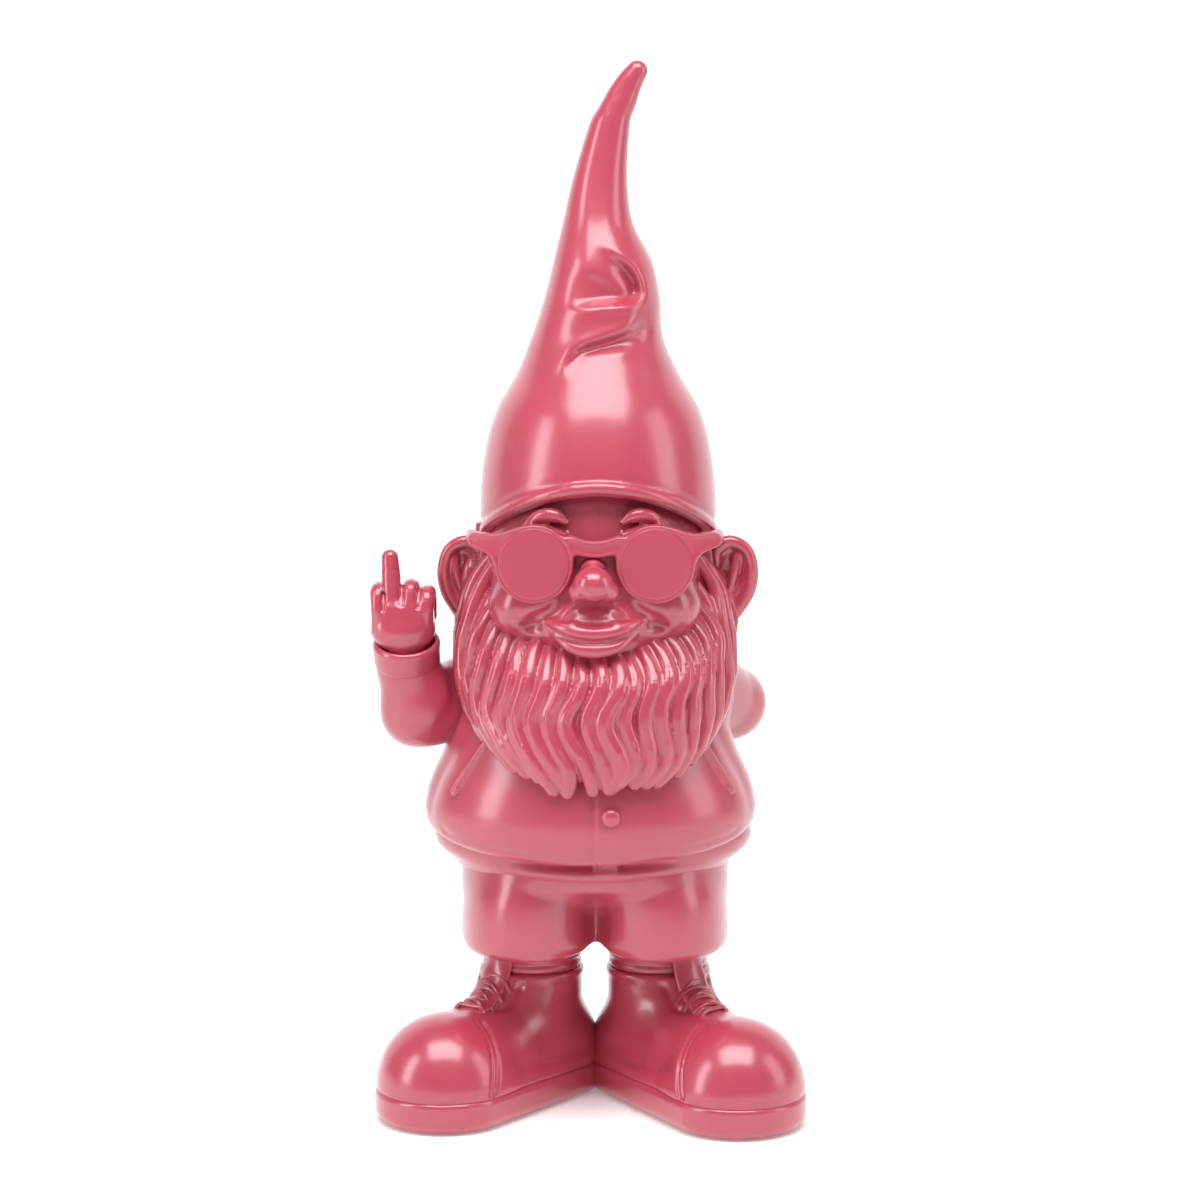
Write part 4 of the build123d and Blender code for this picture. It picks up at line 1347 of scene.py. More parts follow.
@dataclass
class Beard(Assembly):
    """The full beard: S-shaped locks side by side that hang from the cheeks and end in curls."""

    mass: HairMass
    locks: int = 21
    sweep: float = 86.0  # degrees from the front to the last lock on either side
    core: float = -8.0  # the y that the locks stand round
    lock_front: float = -52.9  # the foremost y of a lock's skin
    wisp_front: float = -53.1  # and of a wisp's
    seed: int = 11
    step: float = 0.6

    def build(self) -> None:
        """Models the beard and lets it stand for its node."""
        low, high = FIGURE.box("beard")
        clay = Clay((low[0] - 3, -53.4, low[2] - 1), (high[0] + 3, 4, 198), self.step)
        clay.merge(self.mass.stack(-0.7), 0)
        clay.carve(Ball((0, -60, 188), (38.5, 24, 32)), 2.0)
        clay.carve(Half((0, 0, 200), (0, 0, -1)), 0)
        clay.trim(Half((0, 1.5, 0), (0, -1, 0)), 1.0)
        clay.carve(Ball((0, 6, 118), (60, 44, 26)), 2.0)
        clay.trim(Bowl(156, 49, 33.5), 2.0)
        random = np.random.default_rng(self.seed)
        last = None
        for number in range(self.locks):
            share = 2 * number / (self.locks - 1) - 1
            lock = self._lock(share, random)
            clay.merge(Rope(lock), 0.25)
            if last is not None:
                clay.merge(Rope(self._backing(last, lock)), 0.25)
            last = lock
            self._comb(clay, lock, random)
            if random.random() < 0.45:
                self._wisp(clay, lock, random)
        self.fire("beard_locks", clay, self.finishes.hair, "beard")

    def _backing(self, one: Array, two: Array) -> Array:
        """The clay behind the gap between two neighbouring locks.

        Args:
            one: the first lock's rows.
            two: the second lock's rows.

        Returns:
            Rows of x, y, z and radius.
        """
        length, depth, radius = 29, 2.5, 2.9
        rows = ((one + two) / 2)[:length]
        inward = np.column_stack([self.mass.middle - rows[:, 0], self.core - rows[:, 1]])
        inward /= np.linalg.norm(inward, axis=1, keepdims=True)
        rows[:, :2] += depth * inward
        rows[:, 3] = radius
        return rows

    def _lock(self, share: float, random: np.random.Generator) -> Array:
        """A lock's route and thickness.

        Args:
            share: where the lock is, from -1 at the right cheek to 1 at the left.
            random: the source of its small differences.

        Returns:
            Rows of x, y, z and radius.
        """
        turn = self.sweep * share + random.uniform(-0.6, 0.6)
        # the tops follow the mouth and the cheeks, the bottoms a long curve under the chin
        reach = min(abs(turn) / 76, 1)
        arch = 29.0 * np.sqrt(1 - reach**2 * 0.98)
        top = 186.5 - arch + 6 * max(reach - 0.9, 0) * 10 + random.uniform(-1.4, 2.2)
        bottom = 115.4 + 22 * abs(share) ** 3.0 + random.uniform(-0.8, 2.4)
        swing = 4.3 + random.uniform(-0.8, 0.8)
        phase = 0.06 + 0.10 * sin(2.1 * share + 0.4) + random.uniform(-0.035, 0.035)
        width = (3.4 - 0.5 * share**2) * random.uniform(0.86, 1.12)
        flick = random.choice((-1.0, 1.0, 1.0, 1.0)) * random.uniform(2.5, 6.0)
        rows = []
        for along in np.linspace(0, 1, 33):
            # the lock swings from side to side, is combed towards the cheek, and ends in a curl
            wave = swing * sin(2 * pi * (1.3 * along + phase)) * min(0.25 + along * 2, 1)
            wave *= 1 - 0.35 * abs(share)
            comb = -12.0 * share * (1 - along) ** 2.4
            bend = flick * max(along - 0.8, 0) ** 1.5 * 11
            place = self.mass.point(turn + comb + wave + bend, top + (bottom - top) * along)
            thick = width * (0.72 + 0.28 * min(along * 4, 1))
            thick *= 1 - 0.30 * min(max(along - 0.84, 0) * 6, 1) ** 2
            # its root is buried in the mass, and its end bends in a little
            sunk = 0.1 + 6.0 * max(1 - along / 0.34, 0) ** 2.2
            sunk += 0.9 * max(along - 0.7, 0) * random.uniform(0.2, 1.6)
            place[1] += sunk * cos(radians(turn))
            place[0] -= sunk * sin(radians(turn))
            rows.append((*place, thick))
        rows = np.array(rows)
        rows[:, 1] = np.maximum(rows[:, 1], self.lock_front + rows[:, 3])
        return rows

    def _comb(self, clay: Clay, lock: Array, random: np.random.Generator) -> None:
        """Draws fine comb lines along a lock's front.

        Args:
            clay: the beard's clay.
            lock: the lock's rows.
            random: the source of the lines' places.
        """
        turn = np.arctan2(lock[:, 0], -(lock[:, 1] - self.core))
        out = np.column_stack([np.sin(turn), -np.cos(turn), np.zeros(len(lock))])
        aside = np.column_stack([np.cos(turn), np.sin(turn), np.zeros(len(lock))])
        for offset in (-0.36, 0.3):
            start, end = sorted(random.integers(2, 28, 2))
            if end - start < 8:
                start, end = 5, 23
            line = lock[:, :3] + (out * 0.93 + aside * (offset + random.uniform(-0.1, 0.1))) * lock[:, 3:]
            clay.groove(line[start:end], 0.5, 0.45)

    def _wisp(self, clay: Clay, lock: Array, random: np.random.Generator) -> None:
        """Lays a thin strand over the seam beside a lock.

        Args:
            clay: the beard's clay.
            lock: the lock's rows.
            random: the source of the strand's place and length.
        """
        start = random.integers(0, 9)
        rows = lock[start : start + random.integers(12, 20)].copy()
        drift = np.linspace(-0.9, 0.9, len(rows)) * random.choice((-1, 1))
        rows[:, 0] += drift * rows[:, 3]
        rows[:, 1] -= 0.9 * cos(radians(70 * rows[0, 0] / 45))
        rows[:, 3] *= 0.42 * np.sin(np.linspace(0.35, pi - 0.2, len(rows)))
        rows[:, 1] = np.maximum(rows[:, 1], self.wisp_front + rows[:, 3])
        clay.merge(Rope(rows), 0.4)


@dataclass
class Bowl(Form):
    """All of space inside a bowl's outline seen from the front, with upright sides over it."""

    height: float  # of its rim
    half: float  # its half width there
    depth: float

    def distance(self, x: Array, y: Array, z: Array) -> Array:
        """The bowl's distance, as Form says."""
        below = (np.sqrt((x / self.half) ** 2 + ((z - self.height) / self.depth) ** 2) - 1) * self.depth
        return np.where(z < self.height, below, np.abs(x) - self.half - 1) + 0 * y


@dataclass
class BackHair(Assembly):
    """The hair that shows under the hat behind the ears, in heavy combed locks."""

    mass: HairMass
    locks: int = 19
    sweep: float = 86.0  # degrees from the back to the last lock on either side
    brim_slope: float = 19.4  # degrees, of the cut under the hat
    seed: int = 5
    step: float = 0.7

    def build(self) -> None:
        """Models the hair and lets it stand for its node."""
        low, high = FIGURE.box("hair")
        clay = Clay((low[0] - 3, -4, low[2] - 3), (high[0] + 3, high[1] + 5, 204), self.step)
        clay.merge(self.mass.stack(1.6), 0)
        clay.trim(Half((0, -1, 0), (0, 1, 0)), 1.0)
        clay.trim(Half((0, 0, low[2] + 3), (0, 0, -1)), 2.0)
        clay.carve(Ball((0, -2, 176), (30, 30, 60)), 1.0)
        slope = radians(self.brim_slope)
        clay.trim(Half((0, 0, 203), (0, -sin(slope), cos(slope))), 0.5)
        random = np.random.default_rng(self.seed)
        for number in range(self.locks):
            turn = 180 + self.sweep * (2 * number / (self.locks - 1) - 1)
            clay.merge(Rope(self._lock(turn, low[2], random)), 0.5)
        self.fire("hair_combed", clay, self.finishes.hair, "hair")

    def _lock(self, turn: float, bottom: float, random: np.random.Generator) -> Array:
        """One lock's route and thickness.

        Args:
            turn: its angle from the front, in degrees.
            bottom: the height of the shortest lock's end.
            random: the source of its small differences.

        Returns:
            Rows of x, y, z and radius.
        """
        end = bottom + random.uniform(-1.0, 4.0)
        top = 192 - 8 * (1 + cos(radians(turn))) + (0 if abs(turn - 180) < 60 else 4)
        phase = random.uniform(-0.1, 0.1)
        rows = []
        for along in np.linspace(0, 1, 11):
            swung = turn + 2.6 * sin(2 * pi * (along + phase))
            place = self.mass.point(swung, top + (end - top) * along, 0.4)
            thick = 3.5 * (0.6 + 0.4 * min(along * 4, 1)) * (1 - 0.7 * max(along - 0.7, 0) * 3)
            rows.append((*place, max(thick, 0.9)))
        return np.array(rows)


# ------ clothes
@dataclass
class Clothes(Assembly):
    """The jacket with its placket, button and welts, the rolled waistband, and the shorts."""

    middle: float = -1.5  # the jacket's, in X
    step: float = 0.9

    def build(self) -> None:
        """Models each garment and lets it stand for its node."""
        self._jacket()
        self._trim()
        self._waistband()
        self._shorts()

    @property
    def _jacket_mass(self) -> Stack:
        """The jacket's body."""
        # height, half width and half depth
        levels = [
            (86.0, 49.6, 42.4),
            (91.5, 52.2, 45.0),
            (96, 54.4, 46.8),
            (103, 55.7, 47.4),
            (112, 53.8, 46.2),
            (122, 49.4, 43.4),
            (134, 45.6, 40.0),
            (144, 39.4, 34.6),
            (152, 28.0, 25.0),
        ]
        return Stack([(z, self.middle, 0, width, depth) for z, width, depth in levels])

    def _jacket(self) -> None:
        """The jacket: full over the hips, rounded under at the hem."""
        clay = Clay((-60, -51, 85), (57, 51, 154), self.step * 0.8)
        clay.merge(self._jacket_mass, 0)
        clay.trim(Hem(97.4, 0.172), 3.2)
        for side in Side:
            x = side.value
            shoulder = Ball((x * 34 + self.middle, 6, 141), (15, 16, 13), (0, x * 20, 0))
            clay.merge(shoulder, 6)
        hem = [(-50, -22, 98.0), (-25, -42.2, 94.0), (0, -47.2, 93.0), (25, -42.2, 94.0), (47, -22, 98.0)]
        clay.groove(through(hem, 24), 0.4, 1.2)
        placket = np.array([self._on_jacket(0.6, height, 0) for height in np.linspace(87, 126, 22)])
        clay.groove(placket - np.array([0.9, 0, 0]), 0.7, 0.9)
        clay.groove(placket + np.array([0.9, 0, 0]), -0.4, 0.9)
        self._drape(clay)
        self.fire("jacket_full", clay, self.finishes.cloth, "jacket", "placket")

    def _drape(self, clay: Clay) -> None:
        """Slow folds where the jacket swings out at the sides and behind the arms.

        Args:
            clay: the jacket's clay.
        """
        for x, depth in ((-50, 0.9), (46.5, 0.8), (-38, -0.6), (36, -0.6)):
            route = through([(x * 0.86, -18, 132), (x, -14, 118), (x * 1.04, -12, 104)], 14)
            clay.groove(route, depth, 4.5)
        for x in (-30, -8, 16, 34):
            route = through([(x * 0.9, 44, 126), (x, 47, 112), (x * 1.05, 46, 99)], 14)
            clay.groove(route, 1.1, 3.4)

    def _trim(self) -> None:
        """The two slanting pocket welts and the button."""
        for side in Side:
            x = side.value
            top, bottom = (x * 35 - 0.5, 128.3), (x * 45.0 - 0.5, 112.0)
            clay = Clay((min(x * 30, x * 50) - 2, -40, 107), (max(x * 30, x * 50) + 2, -8, 133), 0.4)
            places = [np.add(top, share * np.subtract(bottom, top)) for share in np.linspace(0, 1, 9)]
            route = [self._on_jacket(*place, -0.4) for place in places]
            clay.merge(Rope([(*point, 1.9) for point in route]), 0)
            seam = [self._on_jacket(point[0] + x * 0.2, point[2], 1.5) for point in route[1:-1]]
            clay.groove(np.array(seam), 0.5, 0.7)
            self.fire(f"welt_{side.label}", clay, self.finishes.cloth, f"pocket_welt_{side.label}")
        place = self._on_jacket(5.2, FIGURE.centre("jacket_button")[2], 0.2)
        clay = Clay(place - np.array([4, 3, 4]), place + np.array([4, 4, 4]), 0.2)
        clay.merge(Ball(place, (3.1, 2.0, 3.1)), 0)
        self.fire("button_round", clay, self.finishes.cloth, "jacket_button")

    def _on_jacket(self, x: float, z: float, proud: float) -> Array:
        """A point on the jacket's front.

        Args:
            x: its place across.
            z: its height.
            proud: how far it stands out from the cloth.

        Returns:
            The point's x, y and z.
        """
        rows = self._jacket_mass.rows
        width, depth = (np.interp(z, rows[:, 0], rows[:, column]) for column in (3, 4))
        y = -depth * np.sqrt(max(1 - ((x - self.middle) / width) ** 2, 0))
        return np.array([x, y - proud, z])

    def _waistband(self) -> None:
        """The thick rolled band that shows under the jacket, with its lap in front."""
        clay = Clay((-56, -46, 80), (55, 46, 104), self.step * 0.85)
        middle = -0.6
        # height, half width and half depth
        levels = [
            (81, 45.4, 37.0),
            (83, 45.6, 37.8),
            (85.5, 47.0, 38.4),
            (87.5, 49.6, 38.6),
            (90, 52.3, 38.8),
            (93, 53.4, 39.0),
            (96, 53.0, 39.2),
            (101, 51.6, 38.6),
        ]
        clay.merge(Stack([(z, middle, 0, width, depth) for z, width, depth in levels]), 0)
        clay.trim(Half((0, 0, 99.5), (0, 0.1, 1)), 2.0)
        clay.trim(Half((0, 0, 83.0), (0, 0, -1)), 1.6)
        x, y, z = middle + 44.6 * np.sin(TURN), -38.8 * np.cos(TURN), 86.4 + 2.2 * np.sin(TURN) ** 2
        clay.merge(Rope(np.column_stack([x, y, z, np.full_like(TURN, 2.1)])), 1.6)
        clay.merge(Slab((3.4, -38.9, 90), (3.6, 1.5, 4.0), 1.2), 1.2)
        self.fire("waistband_rolled", clay, self.finishes.cloth, "waistband")

    def _shorts(self) -> None:
        """The shorts: two short wide legs with a deep crease between them."""
        clay = Clay((-49, -41, 50), (49, 41, 87.5), self.step * 0.85)
        # height, half width and half depth
        body = [(56.4, 30, 9), (64, 36, 11), (70, 41, 17), (76, 43.8, 29), (81, 44.8, 36.4), (87, 46.0, 38.2)]
        clay.merge(Stack([(z, 0, 0, width, depth) for z, width, depth in body]), 0)
        # height, distance from the middle, half width and half depth
        leg = [(50, 22.2, 22.6, 35.0), (60, 22.3, 22.8, 35.8), (70, 21.8, 22.8, 35.8), (79, 20.6, 22.2, 34.6)]
        leg += [(88, 18, 20, 31)]
        for side in Side:
            levels = [(z, side.value * out, 0, width, depth) for z, out, width, depth in leg]
            clay.merge(Stack(levels, 2.1), 5.0)
        clay.trim(Half((0, 0, 55.2), (0, 0, -1)), 4.5)
        clay.carve(Ball((1.0, 0, 50.5), (4.8, 60, 6.6)), 2.6)
        seam = np.array([(0.4, clay.front(0.4, height), height) for height in np.linspace(60.5, 77, 12)])
        for y in (1, -1):
            clay.groove(seam * np.array([1, y, 1]), 0.6, 0.7)
        for side in Side:
            clay.carve(Ball((side.value * 21.6, 9, 51), (18.5, 18.5, 6.5)), 1.5)
        self.fire("shorts_legs", clay, self.finishes.cloth, "shorts")


# ------ boots
class Footprint(Form):
    """The outline of a foot in plan, drawn upright between two heights."""

    def __init__(self, heel: Point, toe: Point, low: float, high: float, rounding: float) -> None:
        """Places the footprint.

        Args:
            heel: the heel's middle and radius.
            toe: the toe's middle and radius.
            low: the underside's height.
            high: the top's height.
            rounding: the radius of its edges.
        """
        self.heel, self.toe, self.span, self.rounding = heel, toe, (low, high), rounding
        reach = max(heel[2], toe[2])
        self.low = np.array([min(heel[0], toe[0]) - reach, min(heel[1], toe[1]) - reach, low])
        self.high = np.array([max(heel[0], toe[0]) + reach, max(heel[1], toe[1]) + reach, high])

    def distance(self, x: Array, y: Array, z: Array) -> Array:
        """The footprint's distance, as Form says."""
        ax, ay = self.toe[0] - self.heel[0], self.toe[1] - self.heel[1]
        share = np.clip(((x - self.heel[0]) * ax + (y - self.heel[1]) * ay) / (ax * ax + ay * ay), 0, 1)
        radius = self.heel[2] + share * (self.toe[2] - self.heel[2])
        plan = np.hypot(x - self.heel[0] - share * ax, y - self.heel[1] - share * ay) - radius + 0 * z
        middle, half = sum(self.span) / 2, (self.span[1] - self.span[0]) / 2
        return rounded_edge(plan, np.abs(z - middle) - half, self.rounding)


@dataclass
class Boot(Assembly):
    """A heavy laced boot: sole, upper with a bulbous cap, tongue, sock and laces."""

    side: Side
    heel_radius: float = 15.5
    toe_radius: float = 23.0
    sole_edge: float = 0.5  # how far the sole reaches past the heel's and the toe's radius
    rim: float = 44.6
    lace_rows: int = 7
    lace_radius: float = 0.85
    step: float = 0.75

    def __post_init__(self) -> None:
        """Works out where the heel, toe and ankle stand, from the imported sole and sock."""
        x = self.side.value
        low, high = FIGURE.box(f"sole_{self.side.label}")
        far = high[0] if x > 0 else low[0]
        toe_reach = self.toe_radius + self.sole_edge
        self.toe = np.array([far - x * toe_reach, low[1] + toe_reach])
        self.heel = np.array([x * 14.0, high[1] - self.heel_radius - self.sole_edge])
        self.ankle = FIGURE.centre(f"sock_{self.side.label}")[:2]
        self.sole_top = float(high[2])
        along = self.toe - self.ankle
        self.length = float(np.linalg.norm(along))
        self.along = along / self.length

    def at(self, share: float, height: float, aside: float = 0.0) -> Array:
        """A point over the line from the ankle to the toe.

        Args:
            share: how far along the line it is.
            height: its height.
            aside: how far it stands to one side of the line.

        Returns:
            The point's x, y and z.
        """
        across = np.array([-self.along[1], self.along[0]])
        plan = self.ankle + self.along * self.length * share + across * aside
        return np.array([plan[0], plan[1], height])

    def build(self) -> None:
        """Models the boot's pieces and lets them stand for their nodes."""
        self._sole()
        upper = self._upper()
        self._tongue(upper)
        self._sock()
        self._laces(upper)

    def _block(self, low: float, high: float, step: float) -> Clay:
        """A block of clay over the foot.

        Args:
            low: its underside's height.
            high: its top's height.
            step: the grid's spacing.

        Returns:
            The block.
        """
        places = ((self.heel, self.heel_radius + 4), (self.toe, self.toe_radius + 3), (self.ankle, 20))
        corners = np.array([middle + way * reach for middle, reach in places for way in (-1, 1)])
        return Clay((*corners.min(axis=0), low), (*corners.max(axis=0), high), step)

    def _sole(self) -> None:
        """The outsole, rounded more at its top edge than at its bottom one."""
        clay = self._block(-1, self.sole_top + 2, self.step * 0.8)
        heel = (*self.heel, self.heel_radius + self.sole_edge)
        toe = (*self.toe, self.toe_radius + self.sole_edge)
        clay.merge(Footprint(heel, toe, 0, self.sole_top, 1.7), 0)
        clay.trim(Footprint(heel, toe, 0, self.sole_top + 14, 4.6), 0)
        self.fire(f"sole_round_{self.side.label}", clay, self.finishes.leather, f"sole_{self.side.label}")

    def _upper(self) -> Clay:
        """The upper: a round cap, an instep that climbs to the shaft, and a rolled rim.

        Returns:
            The upper's clay, which the tongue and the laces lie on.
        """
        clay = self._block(self.sole_top - 2, self.rim + 4, self.step)
        top = self.sole_top
        turn = (0, 0, np.degrees(np.arctan2(self.along[1], self.along[0])))
        clay.merge(Ball((*self.toe, top + 1.5), (23.0, 22.5, 22.4), turn), 0)
        foot = [(*self.toe, top + 2.0, 19.5), (*self.at(0.34, top + 7), 17.5), (*self.heel, top + 6, 15.2)]
        clay.merge(Rope(foot), 5)
        heel, toe = (*self.heel, self.heel_radius + 0.2), (*self.toe, self.toe_radius - 0.9)
        clay.merge(Footprint(heel, toe, top - 4, top + 3.5, 2.4), 4)
        clay.trim(Half((0, 0, top - 0.6), (0, 0, -1)), 0.9)
        heel, toe = (*self.heel, self.heel_radius + 0.5), (*self.toe, self.toe_radius + 0.1)
        clay.trim(Footprint(heel, toe, top - 5, 80, 1.0), 0.8)
        clay.merge(Rope([(*self.ankle, 27, 17.0), (*self.ankle, 60, 17.4)]), 6)
        clay.merge(Rope([(*self.at(0.20, 33), 12.5), (*self.at(0.52, 22), 12.0)]), 9)
        clay.trim(Half((0, 0, self.rim), (0, 0, 1)), 1.2)
        clay.carve(Rope([(*self.ankle, self.rim + 1, 16.0), (*self.ankle, self.rim + 9, 16.0)]), 0.8)
        clay.merge(Band((*self.ankle, self.rim - 1.3), 16.7, (1.1, 1.5)), 0.8)
        self._seams(clay)
        self.fire(f"boot_upper_{self.side.label}", clay, self.finishes.leather, f"boot_{self.side.label}")
        return clay

    def _seams(self, clay: Clay) -> None:
        """The cap's double seam, and the edges of the lace flaps.

        Args:
            clay: the upper's clay.
        """
        lean = np.array([*(self.along * 0.93), 0.36])
        for aside in (1, -1):
            cheek = Ball(self.at(0.92, 23, aside * 17), (16, 16, 13.5))
            for share in (0.90, 0.955):
                clay.score(Half(self.at(share, 22), lean), 1.1, 0.75, cheek)
            flap = [self.at(0.36, self.rim - 3.5, aside * 9.2), self.at(0.44, 38.5, aside * 9.0)]
            flap += [self.at(0.52, 34.5, aside * 8.6), self.at(0.62, 34.6, aside * 6.0)]
            clay.groove(through(flap, 18), 1.3, 1.4)
        across = [self.at(0.60, 35.5, -7), self.at(0.645, 35.8, 0), self.at(0.60, 35.5, 7)]
        clay.groove(through(across, 10), 1.1, 1.1)

    def _seat(self, clay: Clay, place: Array) -> float:
        """Finds the upper's skin over a place.

        Args:
            clay: the upper's clay.
            place: the place, of which only x and y count.

        Returns:
            The skin's height, or the sole's where there is none.
        """
        heights = np.linspace(self.rim + 2, self.sole_top + 4, 90)
        column = np.array([[place[0], place[1], height] for height in heights])
        return clay.probe(column, heights, self.sole_top)

    def _tongue(self, upper: Clay) -> None:
        """The tongue that stands up in front of the sock and runs down under the laces.

        Args:
            upper: the upper's clay.
        """
        clay = self._block(24, self.rim + 9, self.step * 0.62)
        for aside in np.linspace(-4.6, 4.6, 7):
            bow = (aside / 4.6) ** 2
            strip = [self.at(0.405 - 0.03 * bow, 51.5 - bow, aside), self.at(0.425 - 0.03 * bow, 46.5, aside)]
            for share in (0.46, 0.53, 0.60, 0.67):
                place = self.at(share, 0, aside)
                place[2] = min(self._seat(upper, place) + 0.2, strip[-1][2] - 1)
                strip.append(place)
            clay.merge(Rope.through(strip, 18, 1.25), 1.2)
        self.fire(f"tongue_tall_{self.side.label}", clay, self.finishes.leather, f"tongue_{self.side.label}")

    def _sock(self) -> None:
        """The sock, rolled over above the rim."""
        x, y = self.ankle
        clay = Clay((x - 20, y - 20, 38), (x + 20, y + 20, 58), self.step * 0.8)
        clay.merge(Rope([(x, y, 30, 15.6), (x, y, 70, 15.6)]), 0)
        clay.trim(Half((0, 0, 57), (0, 0, 1)), 0.5)
        clay.trim(Half((0, 0, 39), (0, 0, -1)), 0.5)
        for height, radius in ((46.2, 15.7), (49.8, 16.0)):
            clay.merge(Band((x, y, height), radius, (1.3, 1.7)), 0.8)
        self.fire(f"sock_rolled_{self.side.label}", clay, self.finishes.cloth, f"sock_{self.side.label}")

    def _laces(self, upper: Clay) -> None:
        """Laces that cross over the tongue in rows and lie on the boot's flaps.

        Args:
            upper: the upper's clay.
        """
        rows = []
        for number in range(self.lace_rows):
            share = 0.462 + 0.043 * number
            slant = 0.012 if number % 2 else -0.012
            row = []
            for aside in (-7.6, -5.2, -2.5, 0, 2.5, 5.2, 7.6):
                place = self.at(share + slant * aside / 4, 0, aside * (1 - 0.04 * number))
                over = 2.0 - 0.038 * aside**2  # highest over the tongue
                place[2] = min(self._seat(upper, place) + over, self.rim + 1.5 - 1.7 * number)
                row.append(place)
            rows.append(row)
        piece = Cordage(self.lace_radius).along(f"laces_tied_{self.side.label}", rows, self.finishes.leather)
        self.place(piece, self.finishes.leather, f"laces_{self.side.label}")


@dataclass
class Cordage:
    """A Geometry Nodes tree that makes round cord along curves.

    Attributes:
        radius: the cord's radius in millimetres.
        sides: how many sides its section has.
    """

    radius: float
    sides: int = 12

    def along(self, name: str, routes: list[list[Array]], finish: bpy.types.Material) -> bpy.types.Object:
        """Makes cord along routes, as one plain mesh.

        Args:
            name: the piece's name.
            routes: lists of points in millimetres from the figure's middle.
            finish: the material that the tree sets.

        Returns:
            The piece.
        """
        curve = bpy.data.curves.new(name + "_routes", "CURVE")
        curve.dimensions = "3D"
        for route in routes:
            places = through(route, 5 * len(route)) * MM + FIGURE.middle
            spline = curve.splines.new("POLY")
            spline.points.add(len(places) - 1)
            for point, place in zip(spline.points, places):
                point.co = (*place, 1)
        holder = put(name + "_routes", curve)
        modifier = holder.modifiers.new("cordage", "NODES")
        modifier.node_group = self._tree(finish)
        sockets = {item.name: item.identifier for item in modifier.node_group.interface.items_tree}
        modifier[sockets["Radius"]] = self.radius * MM
        modifier[sockets["Sides"]] = self.sides
        evaluated = holder.evaluated_get(bpy.context.evaluated_depsgraph_get())
        mesh = bpy.data.meshes.new_from_object(evaluated)
        holder.modifiers.remove(modifier)
        bpy.data.objects.remove(holder)
        mesh.name = name
        mesh.shade_smooth()
        return put(name, mesh)

    def _tree(self, finish: bpy.types.Material) -> bpy.types.NodeTree:
        """The node tree: a round section swept along each curve, with closed ends.

        Args:
            finish: the material that the tree sets.

        Returns:
            The tree.
        """
        tree = bpy.data.node_groups.new("cordage", "GeometryNodeTree")
        tree.interface.new_socket("Curves", in_out="INPUT", socket_type="NodeSocketGeometry")
        tree.interface.new_socket("Radius", in_out="INPUT", socket_type="NodeSocketFloat")
        tree.interface.new_socket("Sides", in_out="INPUT", socket_type="NodeSocketInt")
        tree.interface.new_socket("Cord", in_out="OUTPUT", socket_type="NodeSocketGeometry")
        new, link = tree.nodes.new, tree.links.new
        given, result = new("NodeGroupInput"), new("NodeGroupOutput")
        section, sweep = new("GeometryNodeCurvePrimitiveCircle"), new("GeometryNodeCurveToMesh")
        realize, coat = new("GeometryNodeRealizeInstances"), new("GeometryNodeSetMaterial")
        sweep.inputs["Fill Caps"].default_value = True
        coat.inputs["Material"].default_value = finish
        link(given.outputs["Radius"], section.inputs["Radius"])
        link(given.outputs["Sides"], section.inputs["Resolution"])
        link(given.outputs["Curves"], sweep.inputs["Curve"])
        link(section.outputs["Curve"], sweep.inputs["Profile Curve"])
        link(sweep.outputs["Mesh"], realize.inputs["Geometry"])
        link(realize.outputs["Geometry"], coat.inputs["Geometry"])
        link(coat.outputs["Geometry"], result.inputs["Cord"])
        return tree


# ------ arms
class Barrel(Form):
    """A round barrel between two points, with rounded edges."""

    def __init__(self, start: Point, end: Point, radii: tuple[float, float], rounding: float) -> None:
        """Places the barrel.

        Args:
            start: the middle of its first end.
            end: the middle of its last end.
            radii: its radius at each.
            rounding: the radius of its edges.
        """
        self.start, self.end = np.array(start, dtype=float), np.array(end, dtype=float)
        self.radii, self.rounding = radii, rounding
        reach = max(radii)
        self.low = np.minimum(self.start, self.end) - reach
        self.high = np.maximum(self.start, self.end) + reach

    def distance(self, x: Array, y: Array, z: Array) -> Array:
        """The barrel's distance, as Form says."""
        along = self.end - self.start
        length = float(np.linalg.norm(along))
        along = along / length
        dx, dy, dz = x - self.start[0], y - self.start[1], z - self.start[2]
        rise = dx * along[0] + dy * along[1] + dz * along[2]
        away = np.sqrt(np.maximum(dx * dx + dy * dy + dz * dz - rise * rise, 0))
        share = np.clip(rise / length, 0, 1)
        round_side = away - (self.radii[0] + share * (self.radii[1] - self.radii[0]))
        return rounded_edge(round_side, np.abs(rise - length / 2) - length / 2, self.rounding)


